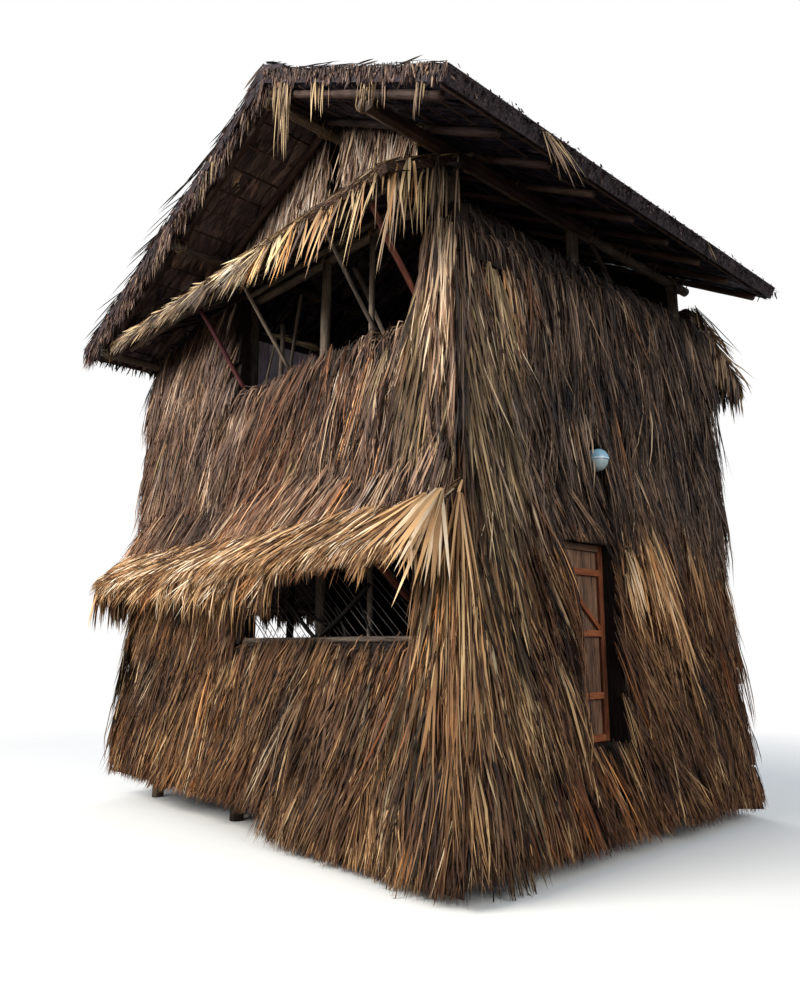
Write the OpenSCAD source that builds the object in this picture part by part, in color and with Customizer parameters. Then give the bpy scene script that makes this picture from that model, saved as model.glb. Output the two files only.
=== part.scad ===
// A two-storey stilt house: a frame of timber poles with palm thatch on its
// walls, roof and propped awnings, seen from its gable side. The ridge runs
// front to back (Y), the door is in the right wall, Z is up from the ground.

/* [Plan] */
// Half the distance between the left and right corner posts
post_x = 2550; // [2520:5:2580]
// Half the distance between the front and back corner posts
post_y = 1900; // [1880:5:1920]
// How far the right eave and the left awning reach from the centre
reach_x = 3600; // [3580:5:3640]
// How far the front verge and the back awning reach from the centre
reach_y = 3030; // [3010:5:3060]
// How far the back verge reaches from the centre
back_verge_y = 2300; // [2260:10:2360]

/* [Heights] */
// Top of the ground floor above the lowest ground
ground_floor_z = 950; // [930:5:970]
// Top of the upper floor
upper_floor_z = 3350; // [3330:5:3370]
// Lower edge of the thatch at the back and in the right part of the front
hem_z = 90; // [60:5:160]
// Lower edge of the thatch on the left wall and in the left part of the front
left_hem_z = 300; // [260:5:340]
// Where the front's lower edge drops from the left wall's height
hem_turn_x = 550; // [450:10:650]
// Lower edge of the thatch on the right wall
right_hem_z = 220; // [180:5:280]
// Sill of the lower windows
lower_sill_z = 1830; // [1800:5:1860]
// Hinge line of the lower awnings
lower_awning_z = 2960; // [2940:5:2980]
// Sill of the upper windows
upper_sill_z = 4590; // [4560:5:4620]
// Hinge line of the upper front awning and the lintel over the opening
upper_awning_z = 5800; // [5790:5:5810]
// Top of the thatch on the right wall
right_thatch_z = 5520; // [5480:5:5560]
// Top of the thatch on the left wall
left_thatch_z = 4990; // [4940:5:5020]

/* [Openings] */
// Left edge of the upper front opening
upper_open_left = -600; // [-620:5:-590]
// Right edge of the upper front opening
upper_open_right = 2470; // [2440:5:2480]
// Left edge of the lower front window
lower_open_left = -280; // [-300:5:-260]
// Right edge of the lower front window
lower_open_right = 2400; // [2380:5:2415]
// Half the width of the left wall's lower window
left_open_half = 800; // [760:10:840]
// Half the width of the back wall's upper window
back_open_half = 900; // [860:10:940]

/* [Posts] */
// Diameter of the corner posts
post_d = 130; // [120:2:136]
// Diameter of the middle posts
mid_post_d = 110; // [104:2:116]
// Diameter of the thin front and back posts
thin_post_d = 60; // [50:2:70]
// Place of the middle post in the front and back walls
mid_post_x = 730; // [710:5:750]
// Place of the thin post in the front and back walls
thin_post_x = 1490; // [1470:5:1510]
// Place of the stout post left of the upper opening
jamb_post_x = -720; // [-735:5:-715]
// Diameter of the stout post left of the upper opening
jamb_post_d = 140; // [130:2:146]

/* [Door] */
// Clear height of the doorway
door_h = 1800; // [1780:5:1820]
// Width of the door leaf
door_w = 700; // [680:5:720]
// Place along the wall of the post that the door hangs on
door_jamb_y = -30; // [-34:2:0]
// Place along the wall of the upper storey's post
strip_post_y = -125; // [-135:5:-115]
// Gap around the door leaf
door_gap = 8; // [6:1:10]
// Thickness of the door's boards
door_board_t = 22; // [18:1:25]
// Thickness of the stiles, ledges and brace
door_frame_t = 32; // [28:1:36]
// Width of the stiles and ledges
door_stile_w = 68; // [60:2:76]

/* [Roof] */
// Place of the ridge, right of the centre
ridge_x = 1170; // [1150:5:1190]
// Top of the roof thatch at the ridge
ridge_z = 7220; // [7210:5:7230]
// Top of the right eave
right_eave_z = 5830; // [5820:5:5840]
// Reach of the left eave from the centre
left_eave_x = 2960; // [2940:5:2980]
// Top of the left eave
left_eave_z = 5570; // [5560:5:5580]
// Thickness of the roof thatch
roof_t = 130; // [120:2:140]
// Thickness of the thatch saddle over the ridge
ridge_cap_t = 40; // [35:1:45]
// Diameter of the rafters
rafter_d = 70; // [64:2:74]
// Diameter of the battens under the thatch
batten_d = 24; // [20:1:26]
// Diameter of the ridge pole
ridge_pole_d = 110; // [100:2:120]
// Diameter of the wall plates and purlins
plate_d = 100; // [92:2:106]

/* [Thatch on the walls] */
// Thickness of the wall thatch
thatch_t = 110; // [104:1:118]
// How much thicker the thatch is at the ground
thatch_flare = 200; // [180:5:215]
// How far each course stands out over the one below it
course_step = 44; // [38:1:50]
// Height of one course of leaves
course_h = 430; // [400:10:460]

/* [Awnings] */
// Thickness of the awning thatch
awning_t = 70; // [64:1:76]
// Diameter of the awning poles
awning_pole_d = 64; // [58:1:68]
// Diameter of the sticks under the awning thatch
awning_stick_d = 36; // [30:1:40]
// How far the leaves hang past the outer pole
awning_leaf = 130; // [120:5:140]
// Reach of the upper front awning from the girts
upper_awning_reach = 870; // [850:5:890]
// Reach of the lower front awning from the girts
lower_awning_reach = 700; // [680:5:720]
// Slope of the upper front awning, degrees
upper_awning_slope = 27; // [26:0.5:28]
// Slope of the lower front awning, degrees
lower_awning_slope = 42; // [41:0.5:43]
// Slope of the back awning, degrees
back_awning_slope = 38; // [37:0.5:39]
// Slope of the left awning, degrees
left_awning_slope = 40; // [39:0.5:41]

/* [Hidden] */

// Clearance where two pieces touch
fit = 0.3;
// Girts run around the outside of the posts
girt_d = 50;
girt_out = post_d / 2 + fit + girt_d / 2;
// Inner face of the thatch, measured from the post line
thatch_in = girt_out + girt_d / 2 + fit;
wall_x = post_x + thatch_in;
wall_y = post_y + thatch_in;
// A plan prism deeper than any thatch
deep = 1200;
// Logs of the floors
beam_d = 120;
joist_d = 90;
floor_t = 30;

// Roof slopes and the lines of their layers, right side then left side
right_run = reach_x - ridge_x;
left_run = left_eave_x + ridge_x;
right_angle = atan((ridge_z - right_eave_z) / right_run);
left_angle = atan((ridge_z - left_eave_z) / left_run);
roof_course = 360;
roof_step = 36;
batten_line = roof_t + fit + batten_d / 2;
rafter_line = batten_line + batten_d / 2 + fit + rafter_d / 2;
carrier_top = rafter_line + rafter_d / 2 + fit;

// Height of a line parallel to the roof, a depth under its top, at x
function right_roof_z(x, depth) = ridge_z - (x - ridge_x) * tan(right_angle) - depth / cos(right_angle);
function left_roof_z(x, depth) = ridge_z - (ridge_x - x) * tan(left_angle) - depth / cos(left_angle);

right_plate_z = right_roof_z(post_x, carrier_top + plate_d / 2);
left_plate_z = left_roof_z(-post_x, carrier_top + plate_d / 2);
purlin_z = left_roof_z(jamb_post_x, carrier_top + plate_d / 2);
verge_in = 60;
pole_r = awning_pole_d / 2;
hinge_out = pole_r + fit;
under = pole_r + awning_stick_d + 2 * fit;
stick_in = 60;
awning_step = 20;
prop_d = 56;
prop_past_thin = 240;
prop_before_mid = 400;
lower_prop_rise = 360;
lower_prop_in = 240;
gable_gap = 120;
eave_beam_w = 70;
eave_beam_h = 90;
knee_d = 60;
knee_top_y = 230;
joist_count = 8;
rafter_count = 9;
rafter_tip = 90;
rafter_first = -reach_y + verge_in + rafter_d / 2;
rafter_pitch = (back_verge_y - verge_in - 2 * rafter_d - rafter_first) / (rafter_count - 1);
// The ridge pole touches the rafters of both slopes
ridge_pole_depth = carrier_top + ridge_pole_d / 2;
ridge_pole_x = ridge_x + ridge_pole_depth * (1 / cos(left_angle) - 1 / cos(right_angle))
    / (tan(right_angle) + tan(left_angle));
ridge_pole_z = right_roof_z(ridge_pole_x, ridge_pole_depth);

// Lattice, panel and lamp
sill_d = 60;
cane_w = 14;
cane_t = 14;
cane_pitch = 240;
cane_lean = 45;
panel_t = 18;
panel_h = 2010;
panel_end_y = -150;
rail_w = 80;
lamp_y = -300;
lamp_z = 3530;
lamp_d = 210;
lamp_rim = 50;
lamp_dome = 84;
hood_t = 12;
lamp_ball = (pow(lamp_d / 2, 2) + pow(lamp_dome, 2)) / (2 * lamp_dome);
lamp_stem_d = 30;
lamp_out = thatch_t + course_step;

// Door fittings
lintel_t = 70;
thatch_lap = 50;
ledge_w = 60;
top_ledge = 290;
ledge_pitch = 560;
low_hinge = 260;
high_hinge = 330;
strap_t = 5;
strap_w = 36;
strap_l = 320;
pin_play = 0.06;
pin_over = 6;
knuckle_d = 26;
knuckle_h = 70;
pin_d = 14;
pin_base = 16;
pin_arm_in = 2;

timber = [0.42, 0.37, 0.32];
dark_timber = [0.28, 0.20, 0.18];
orange_timber = [0.55, 0.32, 0.20];
straw = [0.66, 0.52, 0.36];
grey_straw = [0.45, 0.38, 0.33];
roof_straw = [0.30, 0.25, 0.25];

// A round pole from point a to point b
module pole(a, b, d) {
    v = b - a;
    translate(a)
        rotate([0, acos(v.z / norm(v)), atan2(v.y, v.x)])
            cylinder(h = norm(v), d = d, $fn = 32);
}

// A post standing on the ground
module post(x, y, top, d) {
    translate([x, y, 0]) cylinder(h = top, d = d, $fn = 48);
}

// Four ways to stand at a wall: along it is X, out of it is -Y
module on_front() { translate([0, -wall_y, 0]) children(); }
module on_back() { rotate([0, 0, 180]) translate([0, -wall_y, 0]) children(); }
module on_right() { rotate([0, 0, 90]) translate([0, -wall_x, 0]) children(); }
module on_left() { rotate([0, 0, -90]) translate([0, -wall_x, 0]) children(); }

// A section of distance out of the wall and height, drawn along the wall
module along_wall(from, to) {
    rotate([90, 0, 90]) translate([0, 0, from]) linear_extrude(to - from) mirror([1, 0]) children();
}

// The plan of one wall's thatch, mitred at the ends that are corners
module wall_plan(from, to, corner_from, corner_to) {
    a = corner_from ? deep : 0;
    b = corner_to ? deep : 0;
    linear_extrude(2 * ridge_z)
        polygon([[from, 0], [to, 0], [to + b, -deep], [from - a, -deep]]);
}

// Thickness of the wall thatch, greater near the ground
function wall_t(z) = thatch_t + thatch_flare * pow(max(0, (upper_floor_z - z) / upper_floor_z), 1.5);

// Section of a thatched wall: courses that each stand out over the one below.
// Its foot can slope down outwards, to lie on an awning.
module wall_section(z0, z1, foot_slope) {
    rows = max(1, round((z1 - z0) / course_h));
    row_h = (z1 - z0) / rows;
    outer = [for (i = [0:rows - 1], end = [0, 1])
        let (z = z0 + (i + end) * row_h,
             out = wall_t(z) + (0.5 - end) * course_step)
        [out, i + end == 0 ? z - out * tan(foot_slope) : z]];
    polygon(concat([[0, z1], [0, z0]], outer));
}

// A thatched wall between two places
module thatch_wall(from, to, z0, z1, corner_from = false, corner_to = false, foot_slope = 0) {
    a = corner_from ? deep : 0;
    b = corner_to ? deep : 0;
    intersection() {
        along_wall(from - a, to + b) wall_section(z0, z1, foot_slope);
        wall_plan(from, to, corner_from, corner_to);
    }
}

// Everything over a plane that lies a depth under the roof's top
module over_roof(depth) {
    x1 = reach_x + deep;
    x0 = -left_eave_x - deep;
    rotate([90, 0, 0]) linear_extrude(4 * reach_y, center = true)
        polygon([[x0, left_roof_z(x0, depth)],
                 [ridge_x, min(left_roof_z(ridge_x, depth), right_roof_z(ridge_x, depth))],
                 [x1, right_roof_z(x1, depth)], [x1, 2 * ridge_z], [x0, 2 * ridge_z]]);
}

// Where a level line at height z comes up to a plane under the left slope
function left_roof_x(z, depth) = ridge_x - (ridge_z - depth / cos(left_angle) - z) / tan(left_angle);

// Girts on one wall: level poles between two places
module girts(heights, from, to) {
    for (z = heights)
        translate([0, girt_d / 2 + fit, 0]) pole([from, 0, z], [to, 0, z], girt_d);
}

girt_x = post_x + post_d / 2;
girt_y = post_y + post_d / 2;
low_girt_z = 350;
high_girt_rise = 200;
high_girt_z = upper_floor_z + high_girt_rise;
girt_pitch = 500;
sill_girt = upper_sill_z - girt_d;

// Heights of girts from z0 up to the last one before z1
function girt_levels(z0, z1) =
    let (n = max(1, round((z1 - z0) / girt_pitch))) [for (i = [0:n - 1]) z0 + i * (z1 - z0) / n];

// Posts of every size are flush with the corner posts outside, where the girts are tied
function flush(d) = (post_d - d) / 2;
side_x = post_x + flush(mid_post_d);
module gable_post(x, end, top, d, clear = 0) {
    post(x, end * (post_y + flush(d)), top, d + 2 * clear);
}

module corner_posts() {
    color(timber)
        for (side = [-1, 1], end = [-1, 1])
            post(side * post_x, end * post_y,
                 (side > 0 ? right_plate_z : left_plate_z) - plate_d / 2 - fit, post_d);
}

lintel_d = 90;
lintel_z = upper_awning_z;

// The middle posts, the thin posts and the stout jamb posts of the gable walls
module gable_posts() {
    for (end = [-1, 1]) {
        color(timber) gable_post(mid_post_x, end, lintel_z - lintel_d / 2 - fit, mid_post_d);
        color(timber) gable_post(thin_post_x, end, lintel_z - lintel_d / 2 - fit, thin_post_d);
        color(dark_timber) gable_post(jamb_post_x, end, purlin_z - plate_d / 2 - fit, jamb_post_d);
    }
}

door_post_y = door_jamb_y - mid_post_d - door_w - 2 * door_gap;
door_top_z = ground_floor_z + door_h;

// The two posts of the doorway, a post on the upper floor over it, and the
// middle post of the left wall
module side_posts() {
    foot = upper_floor_z + fit;
    color(timber) {
        for (y = [door_jamb_y, door_post_y])
            post(side_x, y, upper_floor_z - floor_t - joist_d - beam_d, mid_post_d);
        pole([post_x, strip_post_y, foot], [post_x, strip_post_y, right_plate_z - plate_d / 2 - fit], post_d);
        post(-side_x, 0, left_plate_z - plate_d / 2 - fit, mid_post_d);
    }
}

// Two beams along the front and back posts, and joists across them
module floor_frame(top) {
    joist_z = top - floor_t - fit - joist_d / 2;
    beam_z = joist_z - joist_d / 2 - fit - beam_d / 2;
    beam_y = girt_y - max(post_d, jamb_post_d) - fit - beam_d / 2;
    joist_x = post_x - post_d / 2 - joist_d;
    for (end = [-1, 1])
        pole([-girt_x, end * beam_y, beam_z], [girt_x, end * beam_y, beam_z], beam_d);
    for (i = [0:joist_count - 1]) {
        x = -joist_x + i * 2 * joist_x / (joist_count - 1);
        pole([x, -post_y + joist_d, joist_z], [x, post_y - joist_d, joist_z], joist_d);
    }
}

// A boarded floor that fills the house, cut around the posts
module floor_boards(top) {
    difference() {
        translate([-post_x, -post_y, top - floor_t]) cube([2 * post_x, 2 * post_y, floor_t]);
        for (end = [-1, 1]) {
            for (side = [-1, 1]) post(side * post_x, end * post_y, ridge_z, post_d + 2 * fit);
            gable_post(mid_post_x, end, ridge_z, mid_post_d, fit);
            gable_post(thin_post_x, end, ridge_z, thin_post_d, fit);
            gable_post(jamb_post_x, end, ridge_z, jamb_post_d, fit);
        }
        for (y = [door_jamb_y, door_post_y]) post(side_x, y, upper_floor_z - joist_d, mid_post_d + 2 * fit);
        post(-side_x, 0, ridge_z, mid_post_d + 2 * fit);
    }
}

module floor_frames() {
    color(timber) for (top = [ground_floor_z, upper_floor_z]) floor_frame(top);
}
module ground_floor() { color(timber) floor_boards(ground_floor_z); }
module upper_floor() { color(timber) floor_boards(upper_floor_z); }

// The right wall's girts stop at the doorway, and the lamp's stem stands on one
module wall_girts() {
    right_top = right_thatch_z - girt_d;
    left_top = left_thatch_z - girt_d;
    door_side_girts = girt_levels(ground_floor_z + girt_pitch, door_top_z);
    color(timber) {
        on_front()
            girts(concat(girt_levels(low_girt_z, lower_sill_z), [lower_sill_z],
                         girt_levels(high_girt_z, sill_girt), [sill_girt]), -girt_x, girt_x);
        on_back() girts(concat(girt_levels(low_girt_z, sill_girt), [sill_girt]), -girt_x, girt_x);
        on_left()
            girts(concat(girt_levels(low_girt_z, lower_sill_z), [lower_sill_z],
                         girt_levels(high_girt_z, left_top), [left_top]), -girt_y, girt_y);
        on_right() {
            girts([low_girt_z, ground_floor_z - 2 * girt_d], -girt_y, girt_y);
            girts(door_side_girts, -girt_y, door_post_y);
            girts(door_side_girts, door_jamb_y, girt_y);
            girts(concat(girt_levels(door_top_z + girt_pitch / 2, lamp_z), girt_levels(lamp_z, right_top),
                         [right_top]), -girt_y, girt_y);
        }
    }
}

// Lintel logs on the gable posts, and short posts on them under the ridge pole
module gable_lintels() {
    left = jamb_post_x + jamb_post_d / 2 + fit;
    right = post_x - post_d / 2 - fit;
    color(dark_timber)
        for (y = [-post_y, post_y]) {
            pole([left, y, lintel_z], [right, y, lintel_z], lintel_d);
            pole([ridge_pole_x, y, lintel_z + lintel_d / 2 + fit],
                 [ridge_pole_x, y, ridge_pole_z - ridge_pole_d / 2 - fit], mid_post_d);
        }
}

// A log that lies front to back, from verge to verge
module lengthwise(x, z, d) {
    pole([x, -reach_y + verge_in, z], [x, back_verge_y - verge_in, z], d);
}
module roof_plates() {
    color(timber) {
        lengthwise(post_x, right_plate_z, plate_d);
        lengthwise(-post_x, left_plate_z, plate_d);
        lengthwise(jamb_post_x, purlin_z, plate_d);
    }
}
module ridge_pole() { color(timber) lengthwise(ridge_pole_x, ridge_pole_z, ridge_pole_d); }

// A sawn red-brown beam against the right wall's posts, out to the front verge
module eave_log(clear) {
    x = girt_x + fit;
    z = right_roof_z(x + eave_beam_w, carrier_top) - eave_beam_h;
    translate([x - clear, -reach_y + verge_in - clear, z - clear])
        cube([eave_beam_w + 2 * clear, reach_y + 2 * clear, eave_beam_h + clear]);
}
module eave_beam() { color(orange_timber) eave_log(0); }

// A knee brace in the open strip, from the back corner post up to the right plate
module knee_brace() {
    seat = knee_d / 2 * sin(45);
    top_z = right_plate_z - plate_d / 2 - fit - seat;
    foot_y = post_y - post_d / 2 - fit - seat;
    color(dark_timber)
        pole([post_x, knee_top_y, top_z], [post_x, foot_y, top_z - (foot_y - knee_top_y)], knee_d);
}

// Rafters, laid side by side in pairs that cross over the ridge pole
module slope_rafters(run, angle, dir, shift) {
    start = (rafter_line - rafter_d / 2) * tan(angle) + fit;
    for (i = [0:rafter_count - 1])
        translate([ridge_x, rafter_first + shift + i * rafter_pitch, ridge_z])
            rotate([0, dir * angle, 0]) translate([dir * start, 0, -rafter_line]) rotate([0, dir * 90, 0])
                cylinder(h = run / cos(angle) - rafter_tip - start, d = rafter_d, $fn = 32);
}
module rafters() {
    color(timber) {
        slope_rafters(right_run, right_angle, 1, 0);
        slope_rafters(left_run, left_angle, -1, rafter_d + fit);
    }
}

// Battens along the ridge's direction, laid on the rafters
module slope_battens(run, angle, dir, count) {
    slope = run / cos(angle);
    first = batten_line * tan(angle) + 2 * batten_d;
    for (i = [0:count - 1]) {
        p = first + i * (slope - first - 2 * batten_d) / (count - 1);
        x = ridge_x + dir * (p * cos(angle) - batten_line * sin(angle));
        z = ridge_z - p * sin(angle) - batten_line * cos(angle);
        pole([x, -reach_y + verge_in / 2, z], [x, back_verge_y - verge_in / 2, z], batten_d);
    }
}
module battens() {
    color(timber) {
        slope_battens(right_run, right_angle, 1, 10);
        slope_battens(left_run, left_angle, -1, 15);
    }
}

// Section of one roof slope, drawn to the right of the ridge: leaf courses
// whose butts stand up over the course below, on a flat underside
module slope_section(run, angle) {
    slope = run / cos(angle);
    rows = round(slope / roof_course);
    row = slope / rows;
    top = [for (i = [0:rows - 1], end = [0, 1]) [(i + end) * row, (end - 1) * roof_step]];
    intersection() {
        rotate(-angle) polygon(concat(top, [[slope, -roof_t], [-roof_t, -roof_t], [-roof_t, -roof_step]]));
        translate([0, -2 * ridge_z]) square([2 * reach_x, 3 * ridge_z]);
    }
}

module roof_length() {
    translate([ridge_x, back_verge_y, ridge_z]) rotate([90, 0, 0])
        linear_extrude(back_verge_y + reach_y) children();
}
module right_roof_thatch() { color(roof_straw) roof_length() slope_section(right_run, right_angle); }
module left_roof_thatch() { color(roof_straw) roof_length() mirror([1, 0]) slope_section(left_run, left_angle); }

// Section of half the saddle: it lies on the first course of its slope
module cap_half(run, angle) {
    slope = run / cos(angle);
    row = slope / round(slope / roof_course);
    far = -roof_course;
    intersection() {
        rotate(-angle)
            polygon([[far, fit - roof_step + far * roof_step / row], [row, fit],
                     [row, ridge_cap_t], [far, ridge_cap_t]]);
        translate([0, -ridge_z]) square([reach_x, 2 * ridge_z]);
    }
}
module ridge_cap() {
    color(roof_straw) roof_length() union() {
        cap_half(right_run, right_angle);
        mirror([1, 0]) cap_half(left_run, left_angle);
    }
}

// Awnings: a hinge pole outside the girts, sticks down to an outer pole, and
// thatch on the sticks. reach is how far the leaf tips stand from the girts.
function outer_out(reach, slope) = reach - awning_leaf * cos(slope) - (awning_t + under) * sin(slope);
function outer_z(z, reach, slope) = z - (outer_out(reach, slope) - hinge_out) * tan(slope);

// Height of the awning thatch's top where it meets the girts
function awning_top_z(z, slope) = z + hinge_out * tan(slope) + (under + awning_t + fit) / cos(slope);

module awning_section(z, reach, slope) {
    length = (outer_out(reach, slope) - hinge_out) / cos(slope) + awning_leaf;
    top = under + awning_t;
    intersection() {
        translate([hinge_out, z]) rotate(-slope)
            polygon([[-deep, under], [length, under], [length, top],
                     [length / 2, top - awning_step], [length / 2, top], [-deep, top]]);
        square([reach + deep, ridge_z]);
    }
}

// half is the wall's half length, where the thatch of two walls is mitred
module awning_thatch(z, reach, slope, from, to, half) {
    color(straw) intersection() {
        along_wall(from, to) awning_section(z, reach, slope);
        wall_plan(-half, half, true, true);
    }
}

module awning_frame(z, reach, slope, from, to, hinge_from, hinge_to, sticks) {
    out = outer_out(reach, slope);
    low = outer_z(z, reach, slope);
    lift = pole_r + awning_stick_d / 2 + fit;
    dy = lift * sin(slope);
    dz = lift * cos(slope);
    color(timber) {
        pole([hinge_from, -hinge_out, z], [hinge_to, -hinge_out, z], awning_pole_d);
        pole([from, -out, low], [to, -out, low], awning_pole_d);
        for (i = [0:sticks - 1]) {
            x = hinge_from + stick_in + i * (hinge_to - hinge_from - 2 * stick_in) / (sticks - 1);
            pole([x, -hinge_out - dy, z + dz],
                 [x, -out - dy - stick_in * cos(slope), low + dz - stick_in * sin(slope)], awning_stick_d);
        }
    }
}

// A prop from its foot outside the girts up to the awning's outer pole
module prop(x, foot_out, foot_z, z, reach, slope, d) {
    foot = [x, -foot_out, foot_z];
    top = [x, -outer_out(reach, slope), outer_z(z, reach, slope)];
    along = (top - foot) / norm(top - foot);
    pole(foot, top - along * (pole_r + fit), d);
}

// Upper front awning: its left end runs in under the roof
upper_awning_left = -2840;
upper_awning_right = 2700;
upper_hinge_left = left_roof_x(upper_awning_z + pole_r, carrier_top) + awning_stick_d;
upper_outer_left = left_roof_x(outer_z(upper_awning_z, upper_awning_reach, upper_awning_slope) + pole_r,
                               carrier_top + plate_d);
module upper_awning_thatch() {
    difference() {
        on_front()
            awning_thatch(upper_awning_z, upper_awning_reach, upper_awning_slope,
                          upper_awning_left, upper_awning_right + stick_in, wall_x);
        over_roof(carrier_top + fit);
        lengthwise(-post_x, left_plate_z, plate_d + 2 * fit);
        eave_log(fit);
    }
}
lower_awning_half = wall_x + thatch_t;
module lower_awning_thatch() {
    on_front()
        awning_thatch(lower_awning_z, lower_awning_reach, lower_awning_slope,
                      -lower_awning_half - stick_in, lower_awning_half + stick_in, wall_x);
}

// Left awning, over the left wall's lower window
left_awning_reach = reach_x - wall_x;
left_awning_half = wall_y + thatch_t;
module left_awning_thatch() {
    on_left()
        awning_thatch(lower_awning_z, left_awning_reach, left_awning_slope,
                      -left_awning_half - stick_in, left_awning_half + stick_in, wall_y);
}

// Back awning, over the back wall's upper window
back_awning_reach = reach_y - wall_y;
back_awning_drop = 200;
back_awning_z = upper_awning_z - back_awning_drop;
back_hinge_end = -left_roof_x(back_awning_z + pole_r, carrier_top) - awning_stick_d;
back_outer_end = min(upper_awning_right,
                     -left_roof_x(outer_z(back_awning_z, back_awning_reach, back_awning_slope) + pole_r,
                                  carrier_top + plate_d));
module back_awning_thatch() {
    difference() {
        on_back()
            awning_thatch(back_awning_z, back_awning_reach, back_awning_slope,
                          -upper_awning_right - stick_in, -upper_awning_left, wall_x);
        over_roof(carrier_top + fit);
        lengthwise(-post_x, left_plate_z, plate_d + 2 * fit);
    }
}

module awning_frames() {
    on_front() {
        awning_frame(upper_awning_z, upper_awning_reach, upper_awning_slope, upper_outer_left, upper_awning_right,
                     upper_hinge_left, wall_x, 8);
        awning_frame(lower_awning_z, lower_awning_reach, lower_awning_slope,
                     -lower_awning_half, lower_awning_half, -wall_x, wall_x, 8);
    }
    on_left()
        awning_frame(lower_awning_z, left_awning_reach, left_awning_slope,
                     -left_awning_half, left_awning_half, -wall_y, wall_y, 6);
    on_back()
        awning_frame(back_awning_z, back_awning_reach, back_awning_slope, -upper_awning_right, back_outer_end,
                     -wall_x, back_hinge_end, 8);
}

// Props under the front awnings: four in the upper opening, two in the window
module awning_props() {
    color(orange_timber) on_front() {
        for (x = [upper_open_right - 2 * prop_d, thin_post_x + prop_past_thin, mid_post_x - prop_before_mid,
                  upper_open_left + prop_d])
            prop(x, prop_d, upper_sill_z + prop_d,
                 upper_awning_z, upper_awning_reach, upper_awning_slope, prop_d);
        for (x = [lower_open_left + prop_d, lower_open_right - lower_prop_in])
            prop(x, prop_d, lower_sill_z + lower_prop_rise,
                 lower_awning_z, lower_awning_reach, lower_awning_slope, prop_d);
    }
}

// Front wall
lower_head_z = lower_awning_z - pole_r - fit;
upper_head_z = upper_awning_z - pole_r - fit;
back_head_z = back_awning_z - pole_r - fit;
// The front's lower edge is higher in its left part
module front_skirt() {
    color(straw) difference() {
        on_front() thatch_wall(-wall_x, wall_x, hem_z, lower_sill_z, true, true);
        rotate([90, 0, 0]) linear_extrude(wall_y + deep)
            polygon([[-reach_x, 0], [hem_turn_x + left_hem_z, 0], [hem_turn_x, left_hem_z], [-reach_x, left_hem_z]]);
    }
}
module front_lower_sides() {
    color(straw) on_front() {
        thatch_wall(-wall_x, lower_open_left, lower_sill_z, lower_head_z, true);
        thatch_wall(lower_open_right, wall_x, lower_sill_z, lower_head_z, false, true);
    }
}
module front_parapet() {
    color(straw) on_front()
        thatch_wall(-wall_x, wall_x, awning_top_z(lower_awning_z, lower_awning_slope), upper_sill_z,
                    true, true, lower_awning_slope);
}
module front_upper_sides() {
    color(straw) difference() {
        on_front() {
            thatch_wall(-wall_x, upper_open_left, upper_sill_z, upper_head_z, true);
            thatch_wall(upper_open_right, wall_x, upper_sill_z, right_thatch_z, false, true);
        }
        over_roof(carrier_top + fit);
        lengthwise(-post_x, left_plate_z, plate_d + 2 * fit);
    }
}

// Thatch of a gable over its awning, cut around the logs that pass through it
module gable(from, to, z, slope) {
    thatch_wall(from, to, awning_top_z(z, slope), ridge_z, false, false, slope);
}
module roof_logs() {
    over_roof(carrier_top + fit);
    lengthwise(jamb_post_x, purlin_z, plate_d + 2 * fit);
    lengthwise(ridge_pole_x, ridge_pole_z, ridge_pole_d + 2 * fit);
    lengthwise(post_x, right_plate_z, plate_d + 2 * fit);
}
gable_left = left_roof_x(awning_top_z(upper_awning_z, upper_awning_slope), carrier_top);
module front_gable() {
    color(straw) difference() {
        on_front() {
            gable(gable_left, ridge_x - gable_gap, upper_awning_z, upper_awning_slope);
            gable(ridge_x + gable_gap, upper_open_right - gable_gap, upper_awning_z, upper_awning_slope);
        }
        roof_logs();
    }
}

// Right wall: it is whole under and over the doorway, and split beside it. Its
// leaves lap over the free edge of the door.
door_near_y = door_post_y + mid_post_d / 2;
door_far_y = door_jamb_y - mid_post_d / 2;
module right_wall_near() {
    color(straw) difference() {
        on_right() thatch_wall(-wall_y, door_near_y + thatch_lap, ground_floor_z, door_top_z, true);
        translate([leaf_x - door_gap, door_near_y, ground_floor_z - fit])
            cube([leaf_t + 2 * door_gap, door_w, door_h + 2 * fit]);
    }
}
module right_wall_far() {
    color(straw) on_right() thatch_wall(door_far_y, wall_y, ground_floor_z, door_top_z, false, true);
}
module right_wall_skirt() {
    color(straw) on_right() thatch_wall(-wall_y, wall_y, right_hem_z, ground_floor_z, true, true);
}
module right_wall_over_door() {
    color(straw) difference() {
        on_right() thatch_wall(-wall_y, wall_y, door_top_z, right_thatch_z, true, true);
        lamp_stem(lamp_stem_d + 2 * fit);
    }
}

// Left wall
module left_wall_skirt() {
    color(grey_straw) on_left() thatch_wall(-wall_y, wall_y, left_hem_z, lower_sill_z, true, true);
}
module left_wall_lower_sides() {
    color(grey_straw) on_left() {
        thatch_wall(-wall_y, -left_open_half, lower_sill_z, lower_head_z, true);
        thatch_wall(left_open_half, wall_y, lower_sill_z, lower_head_z, false, true);
    }
}
module left_wall_upper() {
    color(grey_straw) on_left()
        thatch_wall(-wall_y, wall_y, awning_top_z(lower_awning_z, left_awning_slope), left_thatch_z,
                    true, true, left_awning_slope);
}

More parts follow.
